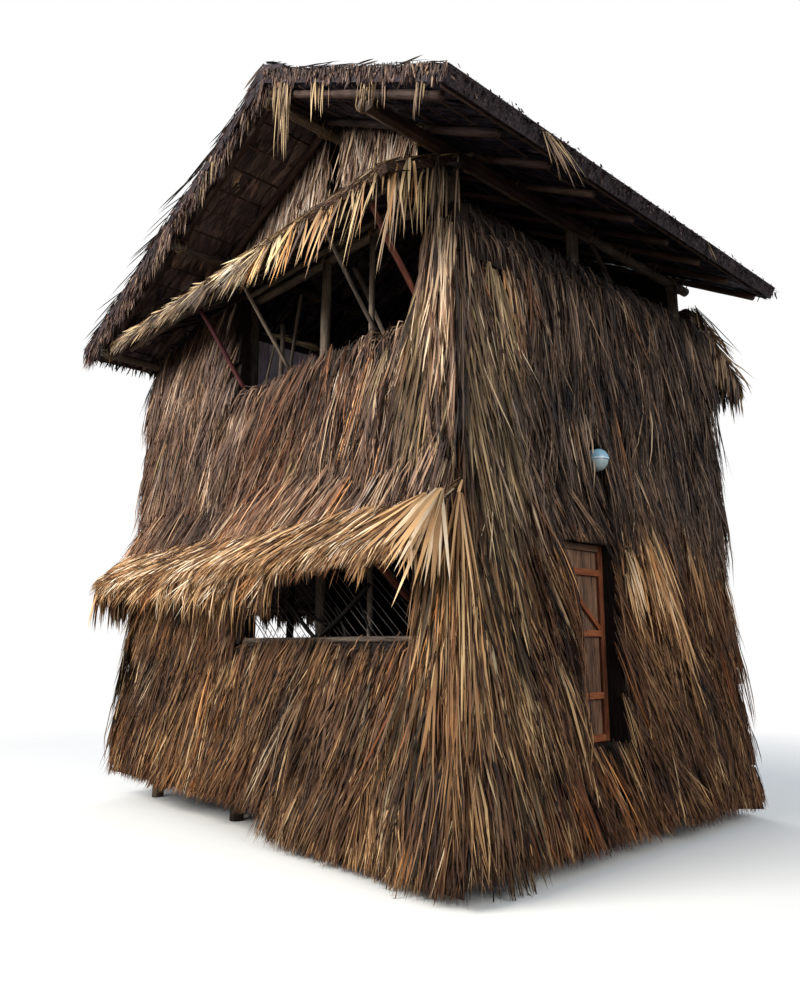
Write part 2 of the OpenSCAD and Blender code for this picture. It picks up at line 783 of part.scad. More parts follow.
// Back wall
module back_wall_lower() {
    color(grey_straw) on_back() thatch_wall(-wall_x, wall_x, hem_z, upper_sill_z, true, true);
}
module back_wall_upper_sides() {
    color(grey_straw) difference() {
        on_back() {
            thatch_wall(-wall_x, -back_open_half, upper_sill_z, back_head_z, true);
            thatch_wall(back_open_half, wall_x, upper_sill_z, back_head_z, false, true);
        }
        over_roof(carrier_top + fit);
        lengthwise(-post_x, left_plate_z, plate_d + 2 * fit);
    }
}
module back_gable() {
    color(grey_straw) difference() {
        on_back() gable(-upper_open_right, -left_roof_x(awning_top_z(back_awning_z, back_awning_slope), carrier_top),
                        back_awning_z, back_awning_slope);
        roof_logs();
    }
}

// A sill pole and a flat lattice of canes in the lower front window
module window_lattice() {
    height = lower_head_z - lower_sill_z;
    depth = wall_t(lower_sill_z) - sill_d;
    color(timber) on_front() {
        translate([0, -depth, lower_sill_z + sill_d / 2 + fit])
            pole([lower_open_left + fit, 0, 0], [lower_open_right - fit, 0, 0], sill_d);
        intersection() {
            along_wall(lower_open_left + fit, lower_open_right - fit)
                translate([fit, lower_sill_z + fit]) square([cane_t, height - 2 * fit]);
            for (lean = [-1, 1], i = [-10:20])
                translate([lower_open_left + i * cane_pitch, 0, lower_sill_z + height / 2])
                    rotate([0, lean * cane_lean, 0]) cube([cane_w, 3 * cane_t, 3 * height], center = true);
        }
    }
}

// A board partition on the upper floor, from the stout front post to a stud,
// with a rail that lies over the boards and the stud
module inner_panel() {
    from = -post_y - flush(jamb_post_d) + jamb_post_d / 2 + fit;
    stud_y = panel_end_y - rail_w;
    color([0.50, 0.44, 0.47]) translate([jamb_post_x, 0, upper_floor_z + fit]) {
        translate([-panel_t / 2, from, 0]) cube([panel_t, stud_y - fit - from, panel_h]);
        translate([-rail_w / 2, stud_y, 0]) cube([rail_w, rail_w, panel_h]);
        translate([-rail_w / 2, from, panel_h + fit]) cube([rail_w, panel_end_y - from, rail_w]);
    }
}

// A round lamp on a stem that reaches through the thatch to a girt, with a hood
// that stands out over its upper half
module lamp_stem(d) {
    on_right() translate([lamp_y, 0, lamp_z]) rotate([90, 0, 0])
        translate([0, 0, fit]) cylinder(h = lamp_out - fit, d = d, $fn = 32);
}
module lamp_half(more) {
    square([lamp_d / 2, lamp_rim + more]);
    intersection() {
        translate([0, lamp_rim + more + lamp_dome - lamp_ball]) circle(r = lamp_ball, $fn = 96);
        translate([0, lamp_rim]) square([lamp_d / 2, lamp_dome + more]);
    }
}
module wall_lamp() {
    color([0.62, 0.70, 0.75]) {
        union() {
            lamp_stem(lamp_stem_d);
            on_right() translate([lamp_y, -lamp_out, lamp_z]) rotate([90, 0, 0]) {
                rotate_extrude($fn = 64) lamp_half(0);
                rotate_extrude(angle = 180, $fn = 64) lamp_half(hood_t);
            }
        }
    }
}

// Doorway: a lintel between the posts, and a threshold from the floor to the leaf
module door_lintel() {
    clear_w = door_far_y - door_near_y - 2 * fit;
    color(timber) {
        translate([side_x - lintel_t / 2, door_near_y + fit, door_top_z]) cube([lintel_t, clear_w, lintel_t]);
        translate([post_x + fit, door_near_y + fit, ground_floor_z - floor_t])
            cube([wall_x - post_x - 2 * fit, clear_w, floor_t]);
    }
}

// The leaf lies against the inner face of the thatch, outside the posts
leaf_x = wall_x + fit;
leaf_t = door_board_t + fit + door_frame_t;
hinge_x = leaf_x - strap_t / 2 - knuckle_d / 2;
hinge_y = door_far_y - door_gap;
leaf_bottom = ground_floor_z + door_gap;
leaf_h = door_h - 2 * door_gap;
hinge_heights = [leaf_bottom + low_hinge, leaf_bottom + leaf_h - high_hinge];
// Ledges on the leaf, from its foot up
ledge_heights = concat([0], [for (i = [2, 1, 0]) leaf_h - top_ledge - i * ledge_pitch], [leaf_h - ledge_w]);

// A pin stands on an arm from the jamb post, and the leaf's knuckle turns on it
module door_pins() {
    color("dimgray")
        for (z = hinge_heights)
            difference() {
                translate([hinge_x, hinge_y, z - pin_base - fit]) union() {
                    rotate_extrude($fn = 48)
                        polygon([[0, 0], [knuckle_d / 2, 0], [knuckle_d / 2, pin_base], [pin_d / 2, pin_base],
                                 [pin_d / 2, pin_base + knuckle_h + pin_over],
                                 [0, pin_base + knuckle_h + pin_over]]);
                    rotate([0, 0, atan2(door_jamb_y - hinge_y, side_x - hinge_x)])
                        translate([0, -pin_d / 2, pin_arm_in])
                            cube([mid_post_d / 2, pin_d, pin_base - 2 * pin_arm_in]);
                }
                post(side_x, door_jamb_y, ridge_z, mid_post_d + 2 * fit);
            }
}

// A strap on the leaf's inner face, and the knuckle that turns on the pin
module door_straps() {
    color("dimgray")
        for (z = hinge_heights)
            difference() {
                union() {
                    translate([hinge_x, hinge_y, z]) cylinder(h = knuckle_h, d = knuckle_d, $fn = 48);
                    translate([leaf_x - strap_t, hinge_y - strap_l, z + (knuckle_h - strap_w) / 2])
                        cube([strap_t - fit, strap_l, strap_w]);
                }
                translate([hinge_x, hinge_y, z - fit])
                    cylinder(h = 2 * knuckle_h, d = pin_d + 2 * pin_play, $fn = 48);
            }
}

module door_boards() {
    color([0.55, 0.45, 0.37])
        translate([leaf_x, hinge_y - door_w, leaf_bottom]) cube([door_board_t, door_w, leaf_h]);
}

// Two stiles, four ledges and a brace, outside the boards
module door_frame() {
    inner = door_w - 2 * door_stile_w;
    color(orange_timber)
        translate([leaf_x + door_board_t + fit, hinge_y - door_w, leaf_bottom]) {
            union() {
                for (y = [0, door_w - door_stile_w])
                    translate([0, y, 0]) cube([door_frame_t, door_stile_w, leaf_h]);
                for (z = ledge_heights)
                    translate([0, door_stile_w / 2, z]) cube([door_frame_t, door_w - door_stile_w, ledge_w]);
                rotate([90, 0, 90]) linear_extrude(door_frame_t)
                    polygon([[door_stile_w / 2, ledge_heights[3]], [door_stile_w / 2, ledge_heights[3] - ledge_w],
                             [door_stile_w + inner, ledge_heights[2]],
                             [door_stile_w + inner, ledge_heights[2] + ledge_w]]);
            }
        }
}

corner_posts();
gable_posts();
side_posts();
floor_frames();
ground_floor();
upper_floor();
wall_girts();
gable_lintels();
roof_plates();
ridge_pole();
eave_beam();
knee_brace();
rafters();
battens();
right_roof_thatch();
left_roof_thatch();
ridge_cap();
front_skirt();
front_lower_sides();
front_parapet();
front_upper_sides();
front_gable();
right_wall_skirt();
right_wall_near();
right_wall_far();
right_wall_over_door();
left_wall_skirt();
left_wall_lower_sides();
left_wall_upper();
back_wall_lower();
back_wall_upper_sides();
back_gable();
awning_frames();
awning_props();
upper_awning_thatch();
lower_awning_thatch();
left_awning_thatch();
back_awning_thatch();
window_lattice();
inner_panel();
wall_lamp();
door_lintel();
door_pins();
door_straps();
door_boards();
door_frame();
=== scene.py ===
import bpy
import numpy as np
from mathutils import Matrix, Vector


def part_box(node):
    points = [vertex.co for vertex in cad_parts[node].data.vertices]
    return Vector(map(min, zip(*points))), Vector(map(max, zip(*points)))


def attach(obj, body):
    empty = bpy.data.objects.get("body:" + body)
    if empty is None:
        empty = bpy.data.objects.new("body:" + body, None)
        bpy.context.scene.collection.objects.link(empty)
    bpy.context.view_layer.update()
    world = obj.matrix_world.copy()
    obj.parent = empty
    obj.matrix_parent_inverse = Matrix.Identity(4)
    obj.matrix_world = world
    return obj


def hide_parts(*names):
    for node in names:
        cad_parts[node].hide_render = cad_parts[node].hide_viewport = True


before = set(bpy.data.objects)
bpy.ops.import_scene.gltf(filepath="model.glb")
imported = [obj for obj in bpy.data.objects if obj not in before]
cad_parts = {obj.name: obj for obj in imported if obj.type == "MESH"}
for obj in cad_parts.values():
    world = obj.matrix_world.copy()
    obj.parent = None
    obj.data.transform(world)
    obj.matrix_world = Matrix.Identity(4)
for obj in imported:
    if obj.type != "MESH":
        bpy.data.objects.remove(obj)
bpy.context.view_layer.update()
dice = np.random.default_rng(4127)
scene = bpy.context.scene
scene.view_settings.view_transform = "Standard"

# The planes that the leaves are tied to, the thatch's thickness and the roof's lines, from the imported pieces
wallY = -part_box("front_parapet")[1].y
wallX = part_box("right_wall_over_door")[0].x

thatch = {"thick": 0.110, "flare": 0.200, "flareTop": 3.35, "step": 0.044, "course": 0.43}
roof = {"ridgeX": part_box("right_roof_thatch")[0].x, "ridgeZ": 7.22, "thick": 0.13,
        "rightX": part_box("right_roof_thatch")[1].x, "rightZ": 5.83,
        "leftX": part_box("left_roof_thatch")[0].x, "leftZ": 5.57,
        "front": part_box("right_roof_thatch")[0].y, "back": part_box("right_roof_thatch")[1].y}
alongX, alongY, up = np.eye(3)


def roofTopZ(x):
    # height of the roof's top at x: two straight slopes from the ridge
    def slope(side):
        fall, run = roof["ridgeZ"] - roof[side + "Z"], abs(roof[side + "X"] - roof["ridgeX"])
        return roof["ridgeZ"] - np.abs(x - roof["ridgeX"]) * fall / run
    return np.where(x > roof["ridgeX"], slope("right"), slope("left"))


def linear(c):
    # one sRGB channel, 0 to 255, as linear light
    c = c / 255
    return c / 12.92 if c <= 0.04045 else ((c + 0.055) / 1.055) ** 2.4


def tint(rgb):
    return (linear(rgb[0]), linear(rgb[1]), linear(rgb[2]), 1.0)


# Shader groups shared by the materials


def newGroup(name, inputs, outputs):
    group = bpy.data.node_groups.new(name, "ShaderNodeTree")
    for label, kind, value in inputs:
        socket = group.interface.new_socket(label, in_out="INPUT", socket_type=kind)
        if value is not None:
            socket.default_value = value
    for label, kind in outputs:
        group.interface.new_socket(label, in_out="OUTPUT", socket_type=kind)
    return group, group.nodes.new("NodeGroupInput"), group.nodes.new("NodeGroupOutput")


def mathNode(tree, operation, a, b=None, clamp=False):
    node = tree.nodes.new("ShaderNodeMath")
    node.operation = operation
    node.use_clamp = clamp
    for index, value in enumerate((a, b)):
        if isinstance(value, (int, float)):
            node.inputs[index].default_value = value
        elif value is not None:
            tree.links.new(value, node.inputs[index])
    return node.outputs[0]


def mixColor(tree, factor, a, b, blend="MIX"):
    node = tree.nodes.new("ShaderNodeMix")
    node.data_type = "RGBA"
    node.blend_type = blend
    for value, socket in ((factor, node.inputs[0]), (a, node.inputs[6]), (b, node.inputs[7])):
        if isinstance(value, (int, float, tuple)):
            socket.default_value = value
        else:
            tree.links.new(value, socket)
    return node.outputs[2]


def noiseAt(tree, vector, scale, detail=3.0, rough=0.55):
    node = tree.nodes.new("ShaderNodeTexNoise")
    tree.links.new(vector, node.inputs["Vector"])
    node.inputs["Scale"].default_value = scale
    node.inputs["Detail"].default_value = detail
    node.inputs["Roughness"].default_value = rough
    return node.outputs[0]


def stretched(tree, vector, scale):
    # a vector multiplied by three numbers, so that a noise runs long one way
    node = tree.nodes.new("ShaderNodeVectorMath")
    node.operation = "MULTIPLY"
    tree.links.new(vector, node.inputs[0])
    node.inputs[1].default_value = scale
    return node.outputs[0]


def makeFibreGroup():
    # fine parallel fibres: a streak value, a roughness value and a height
    group, ins, outs = newGroup(
        "leafFibre",
        [("Vector", "NodeSocketVector", None), ("Contrast", "NodeSocketFloat", 0.5)],
        [("Streak", "NodeSocketFloat"), ("Roughness", "NodeSocketFloat"), ("Height", "NodeSocketFloat")],
    )
    fine = noiseAt(group, ins.outputs[0], 1.0, 4.0, 0.6)
    wide = noiseAt(group, stretched(group, ins.outputs[0], (0.17, 0.17, 0.4)), 1.0, 2.0)
    total = mathNode(group, "ADD", mathNode(group, "MULTIPLY", fine, 0.7),
                     mathNode(group, "MULTIPLY", wide, 0.3))
    centred = mathNode(group, "MULTIPLY", mathNode(group, "SUBTRACT", total, 0.5), ins.outputs[1])
    streak = mathNode(group, "ADD", mathNode(group, "MULTIPLY", centred, 2.0), 0.5, clamp=True)
    group.links.new(streak, outs.inputs[0])
    rough = mathNode(group, "SUBTRACT", 0.9, mathNode(group, "MULTIPLY", total, 0.35))
    group.links.new(rough, outs.inputs[1])
    group.links.new(total, outs.inputs[2])
    return group


def makeWeatherGroup():
    # slow patches of damp, dust and sun over a whole wall: a mask from 0 to 1
    group, ins, outs = newGroup(
        "weatherPatch",
        [("Scale", "NodeSocketFloat", 0.8), ("Low", "NodeSocketFloat", 0.35),
         ("High", "NodeSocketFloat", 0.68)],
        [("Mask", "NodeSocketFloat")],
    )
    place = group.nodes.new("ShaderNodeTexCoord")
    noise = group.nodes.new("ShaderNodeTexNoise")
    noise.inputs["Detail"].default_value = 4.0
    group.links.new(place.outputs["Object"], noise.inputs["Vector"])
    group.links.new(ins.outputs[0], noise.inputs["Scale"])
    ranged = group.nodes.new("ShaderNodeMapRange")
    group.links.new(noise.outputs[0], ranged.inputs[0])
    group.links.new(ins.outputs[1], ranged.inputs[1])
    group.links.new(ins.outputs[2], ranged.inputs[2])
    group.links.new(ranged.outputs[0], outs.inputs[0])
    return group


fibreGroup = makeFibreGroup()
weatherGroup = makeWeatherGroup()


def useGroup(tree, group, **values):
    node = tree.nodes.new("ShaderNodeGroup")
    node.node_tree = group
    for label, value in values.items():
        if isinstance(value, (int, float)):
            node.inputs[label].default_value = value
        else:
            tree.links.new(value, node.inputs[label])
    return node


def ramp(tree, factor, stops):
    node = tree.nodes.new("ShaderNodeValToRGB")
    tree.links.new(factor, node.inputs[0])
    elements = node.color_ramp.elements
    while len(elements) < len(stops):
        elements.new(0.5)
    for element, (place, colour) in zip(elements, stops):
        element.position = place
        element.color = tint(colour)
    return node.outputs[0]


def bumpNode(tree, height, distance, strength):
    node = tree.nodes.new("ShaderNodeBump")
    node.inputs["Distance"].default_value = distance
    node.inputs["Strength"].default_value = strength
    tree.links.new(height, node.inputs["Height"])
    return node.outputs[0]


def finishLook(tree, shader, colour, fibre, distance, strength):
    # colour, roughness and the fibres' relief of a leaf or wood material
    tree.links.new(colour, shader.inputs["Base Color"])
    tree.links.new(fibre.outputs[1], shader.inputs["Roughness"])
    tree.links.new(bumpNode(tree, fibre.outputs[2], distance, strength), shader.inputs["Normal"])


def newMaterial(name, specular=0.3, metallic=0.0):
    material = bpy.data.materials.new(name)
    material.use_nodes = True
    shader = material.node_tree.nodes["Principled BSDF"]
    shader.inputs["Specular IOR Level"].default_value = specular
    shader.inputs["Metallic"].default_value = metallic
    return material, material.node_tree, shader


def pieceTones(tree):
    # tone, hue and place along the piece, stored on each strip or pole
    node = tree.nodes.new("ShaderNodeAttribute")
    node.attribute_name = "leaf"
    parts = tree.nodes.new("ShaderNodeSeparateColor")
    tree.links.new(node.outputs["Color"], parts.inputs[0])
    return parts.outputs[0], parts.outputs[1], parts.outputs[2]


# Palettes of the dry leaves, from the shaded ones to the sunlit ones
palettes = {
    "front": [(0.0, (22, 12, 7)), (0.25, (57, 35, 21)), (0.52, (107, 73, 46)), (0.78, (170, 130, 86)),
              (1.0, (228, 198, 150))],
    "frontHigh": [(0.0, (24, 16, 13)), (0.25, (64, 45, 36)), (0.52, (114, 85, 67)), (0.78, (170, 136, 108)),
                  (1.0, (224, 197, 164))],
    "tan": [(0.0, (20, 14, 9)), (0.25, (55, 42, 28)), (0.52, (104, 84, 59)), (0.78, (168, 142, 104)),
            (1.0, (226, 204, 164))],
    # painted shade: right and rightHigh are a little darker than front and frontHigh, for the shaded side
    "right": [(0.0, (16, 9, 6)), (0.25, (49, 30, 19)), (0.52, (96, 63, 41)), (0.78, (150, 112, 74)),
              (1.0, (210, 176, 128))],
    "rightHigh": [(0.0, (17, 12, 11)), (0.25, (49, 36, 29)), (0.52, (95, 74, 59)), (0.78, (148, 121, 97)),
                  (1.0, (206, 182, 150))],
    "awning": [(0.0, (42, 26, 17)), (0.25, (100, 67, 43)), (0.5, (160, 120, 80)), (0.76, (212, 172, 124)),
               (1.0, (250, 234, 208))],
    "awningOld": [(0.0, (34, 26, 24)), (0.25, (82, 65, 56)), (0.5, (140, 116, 92)), (0.76, (200, 172, 128)),
                  (1.0, (246, 226, 184))],
    "roofTop": [(0.0, (20, 17, 19)), (0.35, (48, 40, 43)), (0.7, (86, 74, 73)), (1.0, (136, 120, 110))],
    "roofEdge": [(0.0, (20, 15, 16)), (0.35, (54, 40, 38)), (0.7, (104, 80, 70)), (1.0, (166, 140, 118))],
    "roofUnder": [(0.0, (24, 21, 26)), (0.3, (58, 49, 53)), (0.62, (98, 83, 83)), (0.85, (144, 122, 108)),
                  (1.0, (206, 184, 160))],
    "roofShade": [(0.0, (12, 11, 22)), (0.35, (30, 27, 44)), (0.7, (54, 47, 66)), (1.0, (98, 84, 96))],
}
# painted shade: the walls' mat is much darker than the leaves, for the shade behind the strips
matShadePalette = [(0.0, (10, 7, 5)), (0.35, (32, 21, 15)), (0.7, (62, 43, 30)), (1.0, (104, 76, 54))]
# Strength of streaks and patches, the hues from which a leaf turns rusty or dull, and the tint of each
leafFinish = {"grain": (150, 150, 9), "streak": 0.3, "patch": 0.13, "rusty": 0.62, "dull": 0.32,
              "warmTint": (1.16, 0.78, 0.5, 1.0), "coolTint": (0.88, 1.03, 1.34, 1.0)}


def leafMaterial(name, palette):
    # colour comes from each strip's own tone, hue and place along the strip, then fibres and weather
    material, tree, shader = newMaterial(name, specular=0.3)
    tone, hue, along = pieceTones(tree)
    place = tree.nodes.new("ShaderNodeTexCoord").outputs["Object"]
    fibre = useGroup(tree, fibreGroup, Vector=stretched(tree, place, leafFinish["grain"]), Contrast=0.5)
    weather = useGroup(tree, weatherGroup, Scale=0.9, Low=0.4, High=0.66)
    streaks = mathNode(tree, "MULTIPLY", mathNode(tree, "SUBTRACT", fibre.outputs[0], 0.5),
                       leafFinish["streak"])
    patches = mathNode(tree, "MULTIPLY", weather.outputs[0], leafFinish["patch"])
    # the place on the shaded-to-sunlit palette: each strip's tone, partly painted shade, with fibre streaks
    # less weather patches
    worn = mathNode(tree, "SUBTRACT", mathNode(tree, "ADD", tone, streaks), patches, clamp=True)
    base = ramp(tree, worn, palette)
    rusty = mathNode(tree, "MULTIPLY", mathNode(tree, "SUBTRACT", hue, leafFinish["rusty"]), 4.0, clamp=True)
    dull = mathNode(tree, "MULTIPLY", mathNode(tree, "SUBTRACT", leafFinish["dull"], hue), 4.0, clamp=True)
    for part, colour in ((rusty, leafFinish["warmTint"]), (dull, leafFinish["coolTint"])):
        base = mixColor(tree, part, base, mixColor(tree, 1.0, base, colour, "MULTIPLY"))
    rootShade = mathNode(tree, "ADD", mathNode(tree, "MULTIPLY", along, 0.9), 0.5, clamp=True)
    base = mixColor(tree, 1.0, base, rootShade, "MULTIPLY")
    finishLook(tree, shader, base, fibre, 0.002, 0.4)
    return material


def backingMaterial(name, palette, grain):
    # the imported mat of leaves behind the single strips, streaked along the leaves, dark as painted shade
    material, tree, shader = newMaterial(name, specular=0.15)
    place = tree.nodes.new("ShaderNodeTexCoord").outputs["Object"]
    fibre = useGroup(tree, fibreGroup, Vector=stretched(tree, place, grain), Contrast=1.5)
    weather = useGroup(tree, weatherGroup, Scale=0.7, Low=0.35, High=0.7)
    tone = mathNode(tree, "SUBTRACT", mathNode(tree, "MULTIPLY", fibre.outputs[0], 0.5),
                    mathNode(tree, "MULTIPLY", weather.outputs[0], 0.12), clamp=True)
    finishLook(tree, shader, ramp(tree, tone, palette), fibre, 0.02, 1.0)
    return material


def woodMaterial(name, dark, mid, light, useUv=True, grain=(6.0, 90.0, 1.0), bump=0.004):
    # grain runs along the piece, with checks, a tone of its own and slow patches of weather
    material, tree, shader = newMaterial(name, specular=0.2)
    place = tree.nodes.new("ShaderNodeTexCoord").outputs["UV" if useUv else "Object"]
    fibre = useGroup(tree, fibreGroup, Vector=stretched(tree, place, grain), Contrast=1.2)
    weather = useGroup(tree, weatherGroup, Scale=2.3, Low=0.36, High=0.66)
    tone = mathNode(tree, "SUBTRACT", fibre.outputs[0], mathNode(tree, "MULTIPLY", weather.outputs[0], 0.25))
    if useUv:
        own = mathNode(tree, "MULTIPLY", mathNode(tree, "SUBTRACT", pieceTones(tree)[0], 0.5), 0.5)
        tone = mathNode(tree, "ADD", tone, own)
    tone = mathNode(tree, "ADD", tone, 0.0, clamp=True)
    finishLook(tree, shader, ramp(tree, tone, [(0.0, dark), (0.45, mid), (1.0, light)]), fibre, bump, 0.8)
    return material


leafLook = {key: leafMaterial("leaf_" + key, palette) for key, palette in palettes.items()}
backLook = {
    "wall": backingMaterial("mat_wall", matShadePalette, (70, 70, 5)),
    "awning": backingMaterial("mat_awning", palettes["frontHigh"], (60, 9, 60)),
    "roof": backingMaterial("mat_roof", palettes["roofUnder"], (7, 60, 40)),
}
poleLook = {
    "grey": woodMaterial("pole_grey", (40, 34, 31), (88, 77, 68), (138, 124, 108)),
    "dark": woodMaterial("pole_dark", (24, 17, 17), (54, 40, 36), (88, 70, 62)),
    "black": woodMaterial("pole_black", (10, 8, 8), (24, 20, 19), (46, 40, 36)),
    "red": woodMaterial("pole_red", (50, 25, 19), (104, 55, 40), (138, 86, 62)),
    "maroon": woodMaterial("pole_maroon", (28, 12, 14), (62, 28, 32), (92, 52, 52)),
    "cane": woodMaterial("cane", (44, 42, 42), (84, 80, 78), (128, 122, 116)),
}
boardLook = {
    "tan": woodMaterial("board_tan", (54, 38, 30), (112, 84, 66), (156, 126, 102)),
    "pink": woodMaterial("board_pink", (150, 134, 146), (210, 192, 206), (234, 222, 230)),
    "floor": woodMaterial("board_floor", (34, 27, 24), (80, 65, 54), (116, 98, 80), useUv=False,
                          grain=(3, 40, 40)),
    "ledge": woodMaterial("board_ledge", (60, 30, 18), (120, 66, 40), (158, 98, 62)),
    "beam": woodMaterial("board_beam", (30, 21, 19), (62, 43, 36), (98, 70, 56)),
    "iron": woodMaterial("iron", (26, 22, 20), (48, 40, 36), (92, 60, 42), useUv=False,
                         grain=(40, 40, 40), bump=0.001),
}
print("materials made")


# Mesh building


def newPiece(name, co, loops, starts, material, body, leaf=None, uv=None, smooth=True):
    mesh = bpy.data.meshes.new(name)
    mesh.vertices.add(len(co))
    mesh.vertices.foreach_set("co", np.asarray(co, np.float32).ravel())
    mesh.loops.add(len(loops))
    mesh.loops.foreach_set("vertex_index", np.asarray(loops, np.int32))
    mesh.polygons.add(len(starts))
    mesh.polygons.foreach_set("loop_start", np.asarray(starts, np.int32))
    mesh.update(calc_edges=True)
    mesh.polygons.foreach_set("use_smooth", np.full(len(starts), smooth))
    if leaf is not None:
        layer = mesh.attributes.new("leaf", "FLOAT_COLOR", "POINT")
        layer.data.foreach_set("color", np.asarray(leaf, np.float32).ravel())
    if uv is not None:
        mesh.uv_layers.new(name="bark").data.foreach_set("uv", np.asarray(uv, np.float32).ravel())
    mesh.materials.append(material)
    piece = bpy.data.objects.new(name, mesh)
    scene.collection.objects.link(piece)
    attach(piece, body)
    return piece


def unit(v):
    return v / np.maximum(np.linalg.norm(v, axis=-1, keepdims=True), 1e-9)


def spread(n, low, high):
    return dice.uniform(low, high, n)


def columns(rows, count=3):
    # each entry of the rows as one array
    return [np.array([row[k] for row in rows], float) for k in range(count)]


def dot(a, b):
    return np.einsum("ij,ij->i", a, b)


def xyz(x, y, z):
    # rows of points or directions; a single number holds for all rows
    return np.stack(np.broadcast_arrays(x, y, z), axis=1)


def scaled(direction, amounts):
    # the direction times one amount a row
    return direction * amounts[:, None]


def leaned(straight, side, angles):
    # directions turned from straight towards side by one angle a row
    return scaled(straight, np.cos(angles)) + scaled(side, np.sin(angles))


def readOff(pairs, u):
    # value at u on the line through pairs of place and value
    return np.interp(u, [p[0] for p in pairs], [p[1] for p in pairs])


# The places along a strip where it has an edge pair, and its width there; the last place is the tip
stripKinds = {
    "plain": (np.array([0.0, 0.36, 0.72, 1.0]), np.array([0.6, 1.0, 0.78])),
    "bent": (np.array([0.0, 0.3, 0.58, 0.82, 1.0]), np.array([0.55, 1.0, 0.92, 0.62])),
    "blade": (np.array([0.0, 0.22, 0.5, 0.78, 1.0]), np.array([0.6, 1.0, 0.82, 0.5])),
    "slab": (np.array([0.0, 0.55, 1.0]), np.array([0.8, 1.0])),
}


def leafStrips(s, kind):
    # s holds arrays, one row a strip. A strip's spine is root + length (aim t + arch sin(pi t) + fall t^2);
    # its edges stand half a width either side, turned about the spine by roll + twist t, and meet at a tip
    rings, widths = stripKinds[kind]
    pairs = len(widths)
    t = rings[None, :, None]
    span = s["length"][:, None, None]
    aim, arch, fall = (s[k][:, None, :] for k in ("aim", "arch", "fall"))
    spine = s["root"][:, None, :] + span * (aim * t + arch * np.sin(np.pi * t) + fall * t**2)
    tangent = unit(aim + arch * np.pi * np.cos(np.pi * t) + 2 * fall * t)
    side = unit(np.cross(tangent, s["lift"][:, None, :]))
    angle = (s["roll"][:, None] + s["twist"][:, None] * rings[None, :])[:, :, None]
    side = side * np.cos(angle) + np.cross(tangent, side) * np.sin(angle)
    half = (0.5 * s["width"][:, None] * widths[None, :])[:, :, None]
    count = len(spine)
    co = np.empty((count, 2 * pairs + 1, 3))
    co[:, 0:-1:2] = spine[:, :pairs] - side[:, :pairs] * half
    co[:, 1:-1:2] = spine[:, :pairs] + side[:, :pairs] * half
    co[:, -1] = spine[:, -1]
    leaf = np.ones((count, 2 * pairs + 1, 4))
    leaf[:, :, 0] = s["tone"][:, None]
    leaf[:, :, 1] = s["hue"][:, None]
    leaf[:, 0:-1:2, 2] = rings[None, :pairs]
    leaf[:, 1:-1:2, 2] = rings[None, :pairs]
    return co, leaf


def leafPiece(name, batches, look, kind="plain"):
    # one mesh from several batches of strips, none of them under the ground
    made = [leafStrips(b, kind) for b in batches]
    co = np.concatenate([m[0] for m in made])
    leaf = np.concatenate([m[1] for m in made])
    co[:, :, 2] = np.maximum(co[:, :, 2], 0.004)
    count, points = co.shape[:2]
    quads = (points - 1) // 2 - 1
    corners = [np.array([0, 1, 3, 2]) + 2 * q for q in range(quads)] + [np.array([0, 1, 2]) + 2 * quads]
    pattern = np.concatenate(corners)
    loops = (pattern[None, :] + points * np.arange(count)[:, None]).ravel()
    starts = (4 * np.arange(quads + 1)[None, :] + len(pattern) * np.arange(count)[:, None]).ravel()
    print(name, "strips", count, "triangles", (2 * quads + 1) * count)
    return newPiece(name, co.reshape(-1, 3), loops, starts, leafLook[look], "house",
                    leaf=leaf.reshape(-1, 4))


def batch(root, aim, length, width, lift, tone, hue=None, arch=None, fall=None, roll=0.5, twist=0.6):
    # fills in the values that a batch of strips doesn't state
    n = len(root)
    still = np.zeros((n, 3))
    return {"root": root, "aim": aim, "length": length, "width": width, "lift": np.broadcast_to(lift, (n, 3)),
            "tone": np.clip(tone, 0.02, 0.98), "hue": dice.normal(0.47, 0.13, n) if hue is None else hue,
            "arch": still if arch is None else arch, "fall": still if fall is None else fall,
            "roll": dice.normal(0, roll, n), "twist": dice.normal(0, twist, n)}


def keepOnly(b, mask):
    return {key: value[mask] for key, value in b.items()}


# Walls. Along each wall u runs to +X or +Y; out is away from the room

# Walls. Along each wall u runs to +X or +Y; out is away from the room
walls = {
    "front": {"along": alongX, "out": -alongY, "plane": wallY},
    "right": {"along": alongY, "out": alongX, "plane": wallX},
    "back": {"along": alongX, "out": alongY, "plane": wallY},
    "left": {"along": alongY, "out": -alongX, "plane": wallX},
}


def onWall(wall, u, away, z):
    # points at u along a wall, away from its plane and z up
    w = walls[wall]
    return scaled(w["along"], u) + scaled(w["out"], w["plane"] + away) + scaled(up, z)


# A clump of leaves tied to a wall: strips in it, half its width, the spread of lean, tone and hue between
# clumps, the share that ends at the foot of its course, and the depth of the loose layer
clump = {"strips": 11, "half": 0.035, "lean": 0.085, "tone": 0.5, "hue": 0.17, "tied": 0.55, "depth": 0.045}


def wallThick(z):
    low = np.maximum(0, (thatch["flareTop"] - z) / thatch["flareTop"])
    return thatch["thick"] + thatch["flare"] * low**1.5


def combing(wall, u, z):
    # the slow lean of the hanging leaves: away from the near corner, with slow waves
    if wall == "front":
        base = -0.38 * np.clip((2.75 - u) / 1.4, 0, 1) + 0.12 * np.clip((0.2 - u) / 2.4, 0, 1)
    elif wall == "right":
        base = 0.06 + 0.26 * np.clip((u + 2.1) / 1.1, 0, 1) - 0.18 * np.clip((u - 1.0) / 0.9, 0, 1)
        base = base * np.clip((4.9 - z) / 1.6, 0.3, 1)
    else:
        base = 0.05 * np.sin(1.3 * u)
    return base + 0.07 * np.sin(1.7 * u + 0.9 * z + 0.6) + 0.06 * np.sin(4.1 * u - 2.3 * z)


def hemWave(u, row):
    # the foot of each course wanders up and down by 0.1 m
    return 0.1 * np.sin(2.7 * u + 1.9 * row)


